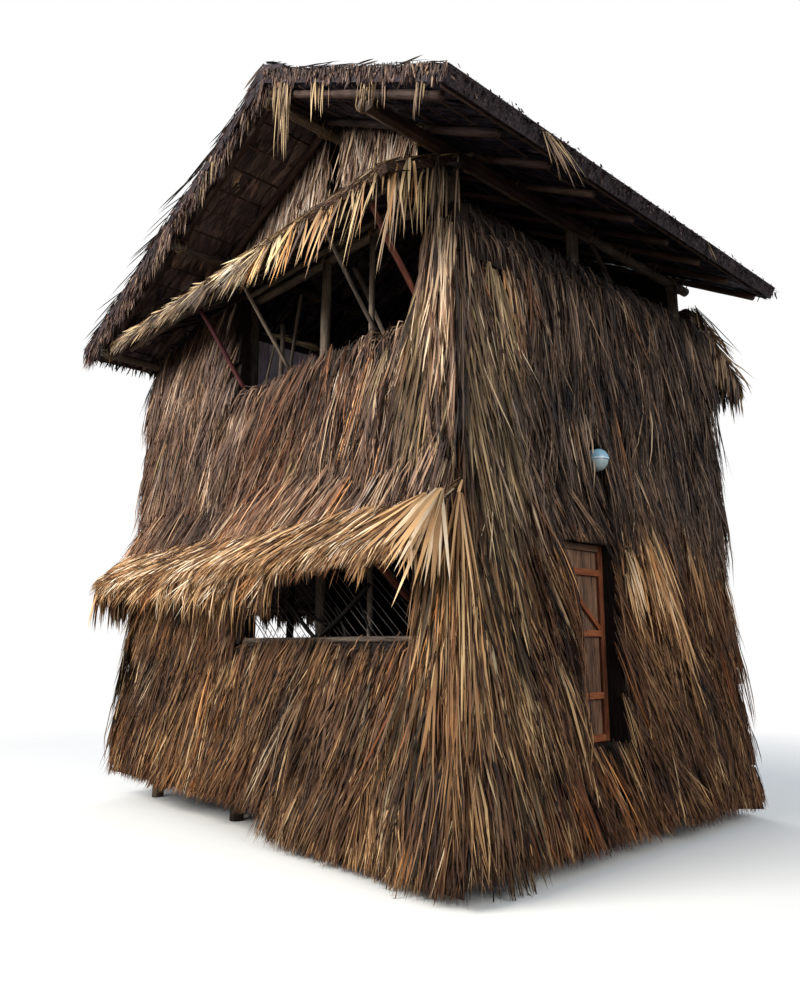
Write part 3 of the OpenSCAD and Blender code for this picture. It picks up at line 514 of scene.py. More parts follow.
def hangOnWall(wall, u0, u1, z0, z1, density, hang=0.12, tone=(0.5, 0.2), length=(0.55, 1.15),
               width=(0.007, 0.016), fan=0.1, corners=(False, False), standOut=0.0, warm=0.0):
    # leaves hang in clumps tied near the tops of the courses; each clump fans out downwards a little
    side, out = walls[wall]["along"], walls[wall]["out"]
    rows = max(1, round((z1 - z0) / thatch["course"]))
    rowH = (z1 - z0) / rows
    strips = clump["strips"]
    clumps = max(4, int(density * (u1 - u0 + 0.2 * sum(corners)) * (z1 - z0) / strips))
    row = dice.integers(0, rows, clumps)
    past = wallThick(z0 + (row + 0.5) * rowH)
    cu = u0 - past * corners[0] + (u1 - u0 + past * sum(corners)) * dice.random(clumps)
    cz = z0 + (row + 1) * rowH - np.abs(dice.normal(0, 0.3, clumps)) * rowH + hemWave(cu, row)
    cz = np.clip(cz, z0 + 0.14, z1 - 0.01)
    clumpLean = dice.normal(0, clump["lean"], clumps)
    clumpTone, clumpHue = dice.normal(0, clump["tone"], clumps), dice.normal(0, clump["hue"], clumps)
    clumpDepth = dice.random(clumps)
    clumpLength = spread(clumps, *length)
    pick = np.repeat(np.arange(clumps), strips)
    n = len(pick)
    offset = np.tile(np.linspace(-1, 1, strips), clumps)
    u = cu[pick] + offset * clump["half"] + dice.normal(0, 0.01, n)
    z = cz[pick] + dice.normal(0, 0.04, n)
    lean = combing(wall, u, z) + clumpLean[pick] + offset * fan + dice.normal(0, 0.045, n)
    span = clumpLength[pick] * spread(n, 0.7, 1.15)
    foot = z0 + (row - (dice.random(clumps) < 0.4))[pick] * rowH - 0.12 + hemWave(u, row[pick])
    tied = dice.random(clumps)[pick] < clump["tied"]
    span = np.where(tied, np.maximum(0.3, (z - foot + dice.normal(0, 0.05, n)) / np.cos(lean)), span)
    lowest = np.maximum(z0 - hang * spread(n, 0.1, 1.0), 0.02)
    span = np.minimum(span, np.maximum(0.1, (z - lowest) / np.cos(lean)))
    frac = np.mod((z - z0) / rowH, 1.0)
    depth = np.clip(0.75 * clumpDepth[pick] + 0.35 * dice.random(n), 0, 1)
    root = onWall(wall, u, wallThick(z) + (0.5 - frac) * thatch["step"] + depth * clump["depth"] - 0.004, z)
    slope = thatch["step"] / rowH * 0.6 + 0.085 * np.maximum(0, 1 - z / thatch["flareTop"])
    aim = leaned(-up, side, lean) + scaled(out, slope + spread(n, -0.01, 0.045) + standOut)
    arch = scaled(out, spread(n, 0.0, 0.035)) + scaled(side, dice.normal(0, 0.02, n))
    curl = np.where(dice.random(n) < 0.12, spread(n, 0.02, 0.12), spread(n, -0.05, 0.015))
    swing = clumpLean[pick] * 0.6 + dice.normal(0, 0.03, n)
    tip, edge = u + span * (np.sin(lean) + swing), wallThick(np.maximum(z - span, 0.0)) + 0.04
    outside = np.maximum(0, tip - u1 - edge) * corners[1] + np.minimum(0, tip - u0 + edge) * corners[0]
    fall = scaled(out, curl) + scaled(side, swing - outside / span)
    patch = 0.5 * np.sin(u * 1.9 + z * 0.7 + 1.3) * np.sin(z * 1.3 - u * 0.6)
    tones = tone[0] + tone[1] * (0.66 * clumpTone[pick] + 0.58 * dice.normal(0, 0.6, n) + 0.35 * patch)
    # painted shade: strips that lie deeper in the loose layer get a darker tone
    tones = tones + 0.42 * (depth - 0.5)
    hue = 0.47 + warm + 0.16 * np.sin(1.3 * u + 0.9 * z + 2.1) * np.sin(1.7 * z - 0.8 * u) + clumpHue[pick]
    wide = spread(n, *width) * np.where(dice.random(n) < 0.1, 1.6, 1.0)
    if wall in ("front", "right"):
        toCorner = wallX - u if wall == "front" else u + wallY
        wide = wide * (1 + 0.4 * np.exp(-np.abs(toCorner) / 0.7))
    tones = tones + 0.22 * (dice.random(n) < 0.05)
    return batch(root, aim, span, wide, out, tones, hue=hue + dice.normal(0, 0.09, n), arch=arch, fall=fall)


def boxZ(node):
    lo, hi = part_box(node)
    return lo.z, hi.z


lattice = {"left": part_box("window_lattice")[0].x, "right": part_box("window_lattice")[1].x}
opening = {"left": -0.60, "right": 2.47}
doorway = {"near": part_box("door_frame")[0].y, "far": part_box("door_frame")[1].y}
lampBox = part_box("wall_lamp")
sideDensity = {"front": 1060, "right": 1000, "rear": 430}
hem = {"turn": 0.62, "high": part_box("left_wall_skirt")[0].z}


def clampTips(b, axis, limit, side):
    # bends strips so that their tips stop at a line beside an opening; side is the sign of the free side
    tip = b["root"][:, axis] + b["length"] * (b["aim"][:, axis] + b["fall"][:, axis])
    excess = np.minimum(0, (tip - limit) * side)
    b["fall"] = b["fall"].copy()
    b["fall"][:, axis] -= side * excess / b["length"]
    return b


def besideGap(wall, u0, u1, z0, z1, density, limit, side, **looks):
    # leaves that end at an opening, from one corner of the wall (side -1) or up to the other (side 1)
    leaves = hangOnWall(wall, u0, u1, z0, z1, density, corners=(side < 0, side > 0), **looks)
    return clampTips(leaves, 0 if wall in ("front", "back") else 1, limit, side)


def besideBoth(wall, far, gap, z0, z1, density, **looks):
    # leaves on both sides of a middle opening that is twice the gap wide
    return [besideGap(wall, -far, -gap - 0.02, z0, z1, density, -gap, -1, hang=0.3, **looks),
            besideGap(wall, gap + 0.02, far, z0, z1, density, gap, 1, hang=0.3, **looks)]


def tipsOf(b):
    return b["root"] + b["length"][:, None] * (b["aim"] + b["fall"])


def keepAbove(b, floor=0.01):
    # drops the strips that would reach under the ground
    return keepOnly(b, tipsOf(b)[:, 2] > floor)


def liftTips(b, u0, u1, floor):
    # shortens the strips of a side wall that would hang below floor between u0 and u1
    tip = tipsOf(b)
    inside = (tip[:, 1] > u0) & (tip[:, 1] < u1) & (tip[:, 2] < floor)
    part = np.clip((b["root"][:, 2] - floor) / np.maximum(b["root"][:, 2] - tip[:, 2], 0.01), 0.05, 1)
    b["length"] = np.where(inside, b["length"] * part, b["length"])
    return b


def clearOfLamp(b):
    # drops the strips that would hang across the lamp's dome
    lampY, lampZ = (lampBox[0].y + lampBox[1].y) / 2, (lampBox[0].z + lampBox[1].z) / 2
    root, tip = b["root"], tipsOf(b)
    level = np.clip((root[:, 2] - lampZ) / np.maximum(root[:, 2] - tip[:, 2], 0.01), 0, 1)
    passing = root[:, 1] + (tip[:, 1] - root[:, 1]) * level
    across = (root[:, 2] > lampZ - 0.08) & (tip[:, 2] < lampZ + 0.1)
    return keepOnly(b, ~((np.abs(passing - lampY) < 0.12) & across))


def underRoof(b, gap=0.02):
    # drops the strips whose root would stand inside the roof
    cover = roofTopZ(b["root"][:, 0]) - 1.12 * roof["thick"] - gap
    return keepOnly(b, b["root"][:, 2] < cover)


def topTufts(wall, u0, u1, levels, count, tone, hue, length=(0.2, 0.42), rise=(-0.1, 0.5)):
    # leaves that stand out from the top edge of a wall and bend over it; levels holds pairs of u and height
    side, out = walls[wall]["along"], walls[wall]["out"]
    pitch = 0.11
    u = spread(count, u0, u1)
    tuft = np.floor(u / pitch)
    u = u + ((tuft + 0.5) * pitch - u) * 0.4
    z = readOff(levels, u) + dice.normal(0, 0.03, count)
    root = onWall(wall, u, wallThick(z) * spread(count, 0.4, 1.05), z)
    lean = combing(wall, u, z) + 0.2 * np.sin(47 * tuft) + dice.normal(0, 0.17, count)
    lift = spread(count, *rise) + 0.12 * np.sin(83 * tuft)
    aim = scaled(side, np.sin(lean)) + scaled(up, lift) + scaled(out, spread(count, 0.15, 0.5))
    fall = scaled(-up, lift + spread(count, 0.55, 0.95)) - scaled(out, spread(count, 0.0, 0.25))
    return batch(root, aim, spread(count, *length), spread(count, 0.008, 0.017), out,
                 dice.normal(tone, 0.17, count), hue=dice.normal(hue, 0.15, count), fall=fall, roll=0.6)


def shine(b, axis, dull, bright, gain, lift=0.0):
    # spreads and lifts the tones of a batch, growing from the place dull to the place bright
    part = np.clip((b["root"][:, axis] - dull) / (bright - dull), 0, 1)
    b["tone"] = b["tone"] + ((b["tone"] - b["tone"].mean()) * (gain - 1) + lift) * part
    return b


def frontWallLeaves():
    d, x0, x1 = sideDensity["front"], lattice["left"], lattice["right"]
    z0, z1 = boxZ("front_skirt")
    left = hangOnWall("front", -wallX, hem["turn"], z0, z1, d, hang=0.1, tone=(0.4, 0.36),
                      corners=(True, False))
    tip = tipsOf(left)
    over = np.maximum(0, hem["high"] - 0.06 * dice.random(len(tip)) - tip[:, 2])
    left["length"] = np.maximum(0.12, left["length"] - over)
    left = keepOnly(left, left["root"][:, 2] > hem["high"] + 0.13)
    right = hangOnWall("front", hem["turn"], wallX, z0, z1, d, hang=0.07, tone=(0.44, 0.42), warm=-0.12,
                       corners=(False, True))
    under = hangOnWall("front", x0 - 0.1, x1 + 0.1, z1 - 0.3, z1 + 0.01, d * 1.6, hang=0.3, tone=(0.46, 0.36),
                       length=(0.3, 0.6))
    sill = topTufts("front", x0, x1, [(0, z1 - 0.02)], 260, 0.46, 0.47, length=(0.12, 0.28), rise=(-0.3, 0.1))
    z0, z1 = boxZ("front_lower_sides")
    besideL = besideGap("front", -wallX, x0 - 0.02, z0, z1, d, x0, -1, hang=0.3, tone=(0.4, 0.34))
    besideR = besideGap("front", x1 + 0.05, wallX, z0, z1 + 0.2, d * 1.4, x1 - 0.02, 1, hang=0.5,
                        tone=(0.46, 0.42), warm=-0.1)
    leafPiece("front_low_leaves", [left, right, under, sill, besideL, besideR], "front")
    z0, z1 = boxZ("front_parapet")
    band = hangOnWall("front", -wallX, wallX, z0, z1, d * 1.05, hang=0.0, tone=(0.41, 0.36),
                      corners=(True, True))
    middle = 0.06 * np.exp(-((band["root"][:, 0] - 0.6) / 0.9) ** 2)
    band["tone"], band["hue"] = band["tone"] - middle, band["hue"] + 2.2 * middle
    over = hangOnWall("front", -wallX, wallX, z0 - 0.12, z0 + 0.42, d * 0.95, hang=0.2, tone=(0.45, 0.36),
                      length=(0.35, 0.65), corners=(True, True), standOut=0.4)
    parapetTop = topTufts("front", -wallX, wallX, [(0, z1)], 620, 0.45, 0.46)
    z0, z1 = boxZ("front_upper_sides")
    x0, x1 = opening["left"], opening["right"]
    highL = besideGap("front", -wallX, x0 - 0.03, z0, z1 - 0.1, d * 0.9, x0, -1, hang=0.35, tone=(0.42, 0.33))
    highL["hue"] = highL["hue"] - 0.28
    highR = besideGap("front", x1 + 0.02, wallX, z0, z1 - 0.42, d * 1.5, x1 - 0.05, 1, hang=0.6,
                      tone=(0.52, 0.42))
    high = [shine(underRoof(b), 0, 0.4, 2.4, 1.35, 0.02) for b in (band, over, parapetTop, highR)]
    leafPiece("front_high_leaves", high + [underRoof(highL)], "frontHigh")


def rightWallLeaves():
    d, y0, y1 = sideDensity["right"], doorway["near"], doorway["far"]
    z0, z1 = boxZ("right_wall_skirt")
    skirt = hangOnWall("right", -wallY, wallY, z0, z1, d, hang=0.14, tone=(0.44, 0.38), corners=(True, True))
    z0, z1 = boxZ("right_wall_near")
    near = besideGap("right", -wallY, y0 - 0.02, z0, z1, d * 1.15, y0 - 0.005, -1, hang=0.4, tone=(0.48, 0.4))
    z0, z1 = boxZ("right_wall_far")
    far = besideGap("right", y1 - 0.02, wallY, z0, z1, d * 1.1, y1 - 0.05, 1, hang=0.4, tone=(0.42, 0.36))
    low = [shine(b, 1, -0.9, -1.7, 1.3, 0.06) for b in (skirt, near, far)]
    leafPiece("right_low_leaves", low, "right")
    z0, z1 = boxZ("right_wall_over_door")
    high = hangOnWall("right", -wallY, wallY, z0, z1 + 0.05, d, hang=0.42, tone=(0.37, 0.38),
                      corners=(True, True))
    # the leaves end lower at the near end, where the mat, dark as painted shade, shows under the roof
    levels = [(-2.2, z1 - 0.2), (-0.6, z1 - 0.17), (0.6, z1 - 0.08), (1.9, z1)]
    y, z = high["root"][:, 1], high["root"][:, 2]
    keep = z < readOff(levels, y) + dice.normal(0, 0.04, len(y))
    high, y, z = keepOnly(high, keep), y[keep], z[keep]
    shade = np.clip((y + 1.0) / 2.6, 0, 1) * np.clip((z - 3.0) / 2.0, 0, 1)
    low = np.clip((4.0 - z) / 1.0, 0, 1)
    high["tone"], high["hue"] = high["tone"] - 0.08 * shade, high["hue"] - 0.14 * shade + 0.12 * low
    high = liftTips(shine(high, 1, -0.6, -1.8, 1.25, 0.05), y0 - 0.03, y1 + 0.1, z0 - 0.02)
    top = topTufts("right", -wallY - 0.1, wallY + 0.1, levels, 760, 0.34, 0.32, length=(0.22, 0.45))
    ends = topTufts("right", -wallY, wallY, [(-2.2, z1 - 0.03), (1.9, z1)], 460, 0.2, 0.3, length=(0.2, 0.4),
                    rise=(-0.1, 0.4))
    leafPiece("right_high_leaves", [clearOfLamp(high), top, ends], "rightHigh")


def rearWallLeaves():
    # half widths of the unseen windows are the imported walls' own
    gaps = {"left": 0.8, "back": 0.9}
    d, wide = sideDensity["rear"], {"width": (0.014, 0.028)}
    both = {"corners": (True, True), **wide}
    batches = [hangOnWall("left", -wallY, wallY, *boxZ("left_wall_skirt"), d, hang=0.08, **both)]
    batches += besideBoth("left", wallY, gaps["left"], *boxZ("left_wall_lower_sides"), d, **wide)
    z0, z1 = boxZ("left_wall_upper")
    batches.append(hangOnWall("left", -wallY, wallY, z0 + 0.1, z1 + 0.05, d, hang=0.05, **both))
    batches.append(topTufts("left", -wallY - 0.15, wallY + 0.15, [(0, z1 - 0.03)], 520, 0.42, 0.42,
                            length=(0.25, 0.45)))
    leafPiece("left_leaves", batches, "frontHigh")
    batches = [hangOnWall("back", -wallX, wallX, *boxZ("back_wall_lower"), d, hang=0.07, **both)]
    batches += besideBoth("back", wallX, gaps["back"], *boxZ("back_wall_upper_sides"), d, **wide)
    leafPiece("back_leaves", [underRoof(b) for b in batches], "right")


# Tufts of each gable end: from and to along the wall, lowest height, half the gap under the ridge, and number
gables = {"front": (-1.3, 2.36, 5.96, 0.12, 2600), "back": (-1.72, 2.45, 5.75, 0.0, 1700)}


def gableLeaves():
    # tufts that hang from the roof line over the gable ends, with a dark gap under the ridge in front
    batches = []
    for wall, (u0, u1, low, gap, n) in gables.items():
        out = walls[wall]["out"]
        u = spread(n, u0, u1)
        top = roofTopZ(u) - 1.14 * roof["thick"] - 0.02
        z = top - (top - low) * dice.random(n) ** 1.3 * 0.9
        keep = (np.abs(u - roof["ridgeX"]) > gap) & (z > low + 0.05)
        u, z = u[keep], z[keep]
        n = len(u)
        root = xyz(u, out[1] * (wallY + thatch["thick"] + spread(n, 0.0, 0.05)), z)
        span = np.minimum(spread(n, 0.28, 0.55), z - low + spread(n, 0.0, 0.12))
        lean = dice.normal(-0.12, 0.16, n)
        aim = xyz(np.sin(lean), out[1] * spread(n, 0.03, 0.12), -np.cos(lean))
        fall = scaled(out, spread(n, -0.03, 0.06))
        batches.append(batch(root, aim, np.maximum(0.12, span), spread(n, 0.01, 0.022), out,
                             dice.normal(0.8, 0.22, n), hue=dice.normal(0.16, 0.14, n), fall=fall))
    leafPiece("gable_leaves", batches, "frontHigh", kind="bent")


awnings = {
    "upper": {"wall": "front", "u": (-2.6, 2.76), "top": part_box("upper_awning_thatch")[1].z,
              "reach": -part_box("upper_awning_thatch")[0].y - wallY, "slope": 27},
    "lower": {"wall": "front", "u": (-2.83, 2.83), "top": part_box("lower_awning_thatch")[1].z,
              "reach": -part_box("lower_awning_thatch")[0].y - wallY, "slope": 42},
    "left": {"wall": "left", "u": (-2.18, 2.18), "top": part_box("left_awning_thatch")[1].z,
             "reach": -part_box("left_awning_thatch")[0].x - wallX, "slope": 40},
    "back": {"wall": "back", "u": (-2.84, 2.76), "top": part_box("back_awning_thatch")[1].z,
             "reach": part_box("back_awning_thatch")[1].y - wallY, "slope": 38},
}
for spec in awnings.values():
    angle, out = np.radians(spec["slope"]), walls[spec["wall"]]["out"]
    cos, sin = np.cos(angle), np.sin(angle)
    spec.update(side=walls[spec["wall"]]["along"], out=out, down=out * cos - up * sin,
                normal=out * sin + up * cos, cos=cos, tan=np.tan(angle))


def onAwning(spec, u, s, above=0.0):
    # points at u along an awning and s out from its wall, above its upper surface
    return onWall(spec["wall"], u, s, spec["top"] - s * spec["tan"] + above)


def layOnAwning(spec, density, tone, sweep, length=(0.45, 0.9), width=(0.011, 0.022), past=0.1):
    # strips lie on the slope in clumps, swept to one side, and bend over the outer edge;
    # sweep holds the turn from straight down the slope at both ends of u
    (u0, u1), reach, strips = spec["u"], spec["reach"], 9
    clumps = int(density * (u1 - u0) * reach / spec["cos"] / strips)
    pick = np.repeat(np.arange(clumps), strips)
    n = len(pick)
    offset = np.tile(np.linspace(-1, 1, strips), clumps)
    u = spread(clumps, u0, u1)[pick] + offset * 0.03 + dice.normal(0, 0.02, n)
    u = np.clip(u, u0, u1)
    s = (reach * spread(clumps, -0.02, 0.92))[pick] + dice.normal(0, 0.03, n)
    s = np.maximum(s, 0.01)
    turn = sweep[0] + (sweep[1] - sweep[0]) * ((u - u0) / (u1 - u0))**1.5
    lean = turn + 0.1 * np.sin(2.2 * u + 1) + dice.normal(0, 0.12, clumps)[pick] + offset * 0.1
    lean = lean + dice.normal(0, 0.08, n)
    span = spread(clumps, *length)[pick] * spread(n, 0.7, 1.1)
    most = (reach + past * dice.random(n) - s) / (spec["cos"] * np.maximum(0.2, np.cos(lean)))
    toEnd = (u - u0 + 0.12) / np.maximum(0.15, -np.sin(lean))
    span = np.maximum(0.12, np.minimum(np.minimum(span, most), toEnd))
    beyond = np.maximum(0, s + span * spec["cos"] * np.cos(lean) - reach) / span
    root = onAwning(spec, u, s) + scaled(spec["normal"], spread(n, 0.002, 0.04))
    aim = leaned(spec["down"], spec["side"], lean)
    arch = scaled(spec["normal"], spread(n, -0.01, 0.04)) + scaled(spec["side"], dice.normal(0, 0.03, n))
    fall = scaled(-up, 1.2 * beyond + spread(n, 0.0, 0.06)) - scaled(spec["out"], 0.4 * beyond)
    tones = tone[0] + tone[1] * (dice.normal(0, 0.5, clumps)[pick] + dice.normal(0, 0.6, n))
    return batch(root, aim, span, spread(n, *width), spec["normal"], tones, arch=arch, fall=fall)


def edgeFringe(spec, count, reachAt, tone, width=(0.014, 0.028), sweep=-0.3, tuft=0.09):
    # blades hang from the outer edge in small tufts; reachAt holds pairs of u and length, read between them
    u = spread(count, *spec["u"])
    centre = (np.floor(u / tuft) + 0.5) * tuft
    u = u + (centre - u) * 0.45
    s = spec["reach"] - spread(count, 0.0, 0.12)
    wave = 0.85 + 0.35 * np.sin(91.7 * centre) + dice.normal(0, 0.16, count)
    span = np.clip(readOff(reachAt, u) * wave, 0.05, 0.85)
    root = onAwning(spec, u, s, -spread(count, 0.0, 0.05))
    lean = sweep + 0.15 * np.sin(57.3 * centre) + dice.normal(0, 0.12, count)
    outward = spread(count, 0.05, 0.4)
    aim = leaned(-up, spec["side"], lean) + scaled(spec["out"], outward)
    fall = scaled(-spec["out"], 0.75 * outward) - up * 0.1
    fall = fall + scaled(spec["side"], -0.5 * np.sin(lean) + dice.normal(0, 0.04, count))
    return batch(root, aim, span, spread(count, *width), spec["out"], dice.normal(*tone, count), fall=fall,
                 roll=0.7)


def endFringe(spec, side, count, reachWall, reachEdge, tone, width=(0.014, 0.03), spreadOut=0.1,
              parts=(0.0, 1.0), hue=0.47):
    # blades hang from the sloping end of an awning, longer towards the wall; parts is the share of the slope
    # they take
    sign = 1 if side else -1
    part = spread(count, *parts)
    u = spec["u"][side] + sign * spread(count, -0.12, 0.035)
    root = onAwning(spec, u, spec["reach"] * part, spread(count, -0.05, 0.04))
    span = (reachWall + (reachEdge - reachWall) * part) * spread(count, 0.45, 1.2)
    away = spread(count, -0.05, 0.12) * sign
    forward = dice.normal(spreadOut, 0.14, count)
    aim = scaled(spec["side"], away) + scaled(spec["out"], forward)
    aim = aim - scaled(up, np.sqrt(np.maximum(0.1, 1 - forward**2)))
    fall = scaled(-up, spread(count, 0.05, 0.2)) - scaled(spec["out"], 0.4 * forward)
    fall = fall - scaled(spec["side"], 0.6 * away)
    return batch(root, aim, span, spread(count, *width), spec["side"], dice.normal(*tone, count),
                 hue=dice.normal(hue, 0.12, count), fall=fall, roll=0.7)


def awningUnderside(spec, count, tone):
    # wide leaf blades seen from below, lying along the slope under the mat
    u = spread(count, *spec["u"])
    s = spec["reach"] * spread(count, 0.02, 0.75)
    root = onAwning(spec, u, s) - scaled(spec["normal"], spread(count, 0.074, 0.09))
    aim = leaned(spec["down"], spec["side"], dice.normal(-0.1, 0.25, count))
    span = np.minimum(spread(count, 0.25, 0.5), (spec["reach"] + 0.05 - s) / spec["cos"])
    fall = scaled(-spec["normal"], spread(count, 0.0, 0.05))
    return batch(root, aim, np.maximum(span, 0.08), spread(count, 0.03, 0.06), spec["normal"],
                 dice.normal(*tone, count), fall=fall, roll=0.25, twist=0.3)


def fanLeaves(roots, out, low, high, count, length, width, tone, lift, hue, drop=(0.05, 0.22), ragged=0.05):
    # palm fans: from each root, count blades spread evenly from the direction low to the direction high;
    # lift bulges a fan outwards in its middle, and drop is how far the tips bend down
    roots = np.atleast_2d(np.asarray(roots, float))
    fans = len(roots)

    def each(value, *size):
        # a value for every fan, or one for all, as a row for every blade
        return np.repeat(np.broadcast_to(np.asarray(value, float), (fans, *size)), count, axis=0)

    part = np.tile(np.linspace(0, 1, count), fans)[:, None]
    n = fans * count
    outward = each(out, 3)
    aim = unit(each(low, 3) * (1 - part) + each(high, 3) * part) + outward * lift * np.sin(np.pi * part)
    aim = unit(aim + dice.normal(0, ragged, (n, 3)))
    span = each(length) * (0.75 + 0.3 * np.sin(np.pi * part[:, 0])) * spread(n, 0.82, 1.1)
    start = each(roots, 3) + aim * 0.03 + dice.normal(0, 0.008, (n, 3))
    fall = scaled(-up, spread(n, *drop))
    hues = each(hue) + dice.normal(0, 0.06, n)
    return batch(start, aim, span, spread(n, *width), outward, each(tone) + dice.normal(0, 0.12, n), hue=hues,
                 fall=fall, roll=0.4, twist=0.3)


def edgeFans(spec, count, ends, blades, sweep, length, width, tone, hue, back=(0.0, 0.2), drop=(0.1, 0.35),
             ragged=0.06):
    # fans rooted near the outer edge between the two ends; sweep holds the turn from straight down of a fan's
    # two sides, at both ends
    u = np.sort(spread(count, *ends))
    part = (u - ends[0]) / (ends[1] - ends[0])
    turns = [np.radians(near + (far - near) * part + dice.normal(0, 6, count)) for near, far in zip(*sweep)]
    sides = [leaned(-up, spec["side"], turn) + scaled(spec["out"], spread(count, 0.02, 0.16))
             for turn in turns]
    size = (length[0] + (length[1] - length[0]) * part) * spread(count, 0.7, 1.15)
    tones = tone[0] + tone[1] * dice.normal(0, 1, count)
    roots = onAwning(spec, u, spec["reach"] - spread(count, *back), -0.02)
    return fanLeaves(roots, spec["out"], *sides, blades, size, width, tones, lift=0.1, drop=drop,
                     ragged=ragged, hue=dice.normal(hue, 0.16, count))


def awningLeaves():
    spec = awnings["upper"]
    upper = [layOnAwning(spec, 1300, (0.48, 0.32), (-1.2, -0.5), past=0.04, width=(0.009, 0.018)),
             edgeFringe(spec, 420, [(-2.6, 0.1), (0.4, 0.12), (1.0, 0.14)], (0.4, 0.22), sweep=-0.8,
                        width=(0.008, 0.016)),
             edgeFans(spec, 62, (-2.3, 1.2), 12, ((-86, -60), (-82, -48)), (0.3, 0.44), (0.007, 0.015),
                      (0.46, 0.18), 0.3, back=(-0.02, 0.08), drop=(0.0, 0.14)),
             edgeFans(spec, 20, (-1.9, 1.3), 8, ((-100, -84), (-98, -78)), (0.3, 0.42), (0.008, 0.015),
                      (0.7, 0.14), 0.36, back=(-0.02, 0.06), drop=(0.0, 0.1)),
             edgeFans(spec, 10, (-0.2, 1.2), 6, ((-62, -30), (-56, -22)), (0.3, 0.42), (0.008, 0.016),
                      (0.5, 0.14), 0.38, back=(0.0, 0.06), drop=(0.1, 0.3)),
             # broad golden blades and a drab bundle at the near end
             edgeFans(spec, 24, (0.9, 2.74), 3, ((-62, -26), (-34, 4)), (0.34, 0.56), (0.018, 0.03),
                      (0.74, 0.12), 0.67, back=(0.0, 0.03), drop=(0.15, 0.4), ragged=0.08),
             edgeFans(spec, 3, (2.6, 2.76), 6, ((-18, 6), (-10, 12)), (0.62, 0.8), (0.013, 0.021),
                      (0.52, 0.15), 0.42, back=(0.02, 0.3), drop=(0.15, 0.35)),
             endFringe(spec, 1, 22, 0.9, 0.6, (0.42, 0.16), width=(0.01, 0.02), parts=(0.0, 0.45), hue=0.4),
             endFringe(spec, 1, 26, 0.62, 0.46, (0.76, 0.1), width=(0.018, 0.03), spreadOut=0.2,
                       parts=(0.25, 1.0), hue=0.67),
             endFringe(spec, 0, 120, 0.3, 0.2, (0.48, 0.18), width=(0.008, 0.016))]
    upper = [keepAbove(underRoof(b, 0.0)) for b in upper]
    # no blade reaches past the awning's left end
    for b in upper:
        toEnd = (b["root"][:, 0] + 2.78) / np.maximum(0.1, -b["aim"][:, 0])
        b["length"] = np.minimum(b["length"], np.maximum(0.1, toEnd))
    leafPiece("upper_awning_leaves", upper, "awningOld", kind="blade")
    spec = awnings["lower"]
    reachAt = [(-2.83, 0.2), (-1.2, 0.34), (-0.1, 0.48), (0.55, 0.6), (1.05, 0.56), (1.35, 0.24), (1.9, 0.1),
               (2.83, 0.08)]
    lower = [layOnAwning(spec, 2300, (0.52, 0.38), (-1.25, -0.5), length=(0.5, 1.05), width=(0.009, 0.019),
                         past=0.08),
             edgeFringe(spec, 1500, reachAt, (0.44, 0.28), sweep=-0.7, width=(0.008, 0.017)),
             edgeFans(spec, 40, (-2.6, 1.0), 12, ((-78, -38), (-70, -26)), (0.36, 0.62), (0.009, 0.018),
                      (0.58, 0.18), 0.5, back=(0.02, 0.2), drop=(0.02, 0.2), ragged=0.09),
             edgeFans(spec, 7, (0.35, 1.1), 13, ((-72, -34), (-64, -26)), (0.55, 0.6), (0.01, 0.019),
                      (0.95, 0.06), 0.26, back=(0.05, 0.3), drop=(0.0, 0.15)),
             edgeFans(spec, 14, (1.3, 2.5), 9, ((-72, -34), (-50, -12)), (0.24, 0.3), (0.012, 0.022),
                      (0.54, 0.15), 0.6, back=(0.0, 0.2), drop=(0.05, 0.25), ragged=0.09),
             endFringe(spec, 1, 90, 0.7, 0.22, (0.48, 0.28)),
             endFringe(spec, 0, 330, 0.75, 0.45, (0.34, 0.2))]
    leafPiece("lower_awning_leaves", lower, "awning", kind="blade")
    left, back = awnings["left"], awnings["back"]
    rear = [layOnAwning(left, 1100, (0.46, 0.3), (0.0, 0.0), width=(0.014, 0.026)),
            edgeFringe(left, 1900, [(-2.2, 0.26), (2.2, 0.24)], (0.4, 0.22), sweep=0.0),
            layOnAwning(back, 1000, (0.46, 0.3), (0.0, 0.0), width=(0.014, 0.026)),
            edgeFringe(back, 1500, [(-3, 0.25), (3, 0.25)], (0.42, 0.22), sweep=0.0),
            endFringe(back, 1, 260, 0.42, 0.34, (0.42, 0.2), spreadOut=0.2),
            endFringe(left, 0, 200, 0.3, 0.3, (0.4, 0.2))]
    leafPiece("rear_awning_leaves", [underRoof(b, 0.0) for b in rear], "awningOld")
    under = [underRoof(awningUnderside(awnings[key], count, tone), 0.0) for key, count, tone in (
        ("upper", 1500, (0.3, 0.16)), ("lower", 1100, (0.35, 0.18)), ("left", 700, (0.3, 0.16)),
        ("back", 900, (0.3, 0.16)))]
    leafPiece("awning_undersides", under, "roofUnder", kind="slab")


# Directions of the first and the last blade of the fans at each place
fanSides = {
    "front": ((-0.4, -0.1, -0.92), (0.06, 0.0, -1.0)),
    "right": ((0.0, -0.05, -1.0), (0.06, 0.42, -0.9)),
    "corner": ((-0.26, -0.04, -0.97), (0.03, 0.3, -0.95)),
    "parapet": ((-0.5, -0.03, -0.86), (-0.1, -0.03, -1.0)),
    "farTop": ((-0.6, -0.1, -0.8), (-0.2, -0.05, -1.0)),
    "farLow": ((-0.36, -0.06, -0.93), (0.06, -0.02, -1.0)),
    "rear": ((-0.16, 0.12, -1.0), (0.16, -0.12, -1.0)),
    "side": ((-0.03, -0.08, -1.0), (-0.03, 0.36, -0.9)),
    "hinge": ((0.06, 0.06, -1.0), (0.06, 0.5, -0.87)),
}
# the near corner's bundles are darker below this height
darkBelow = 3.0


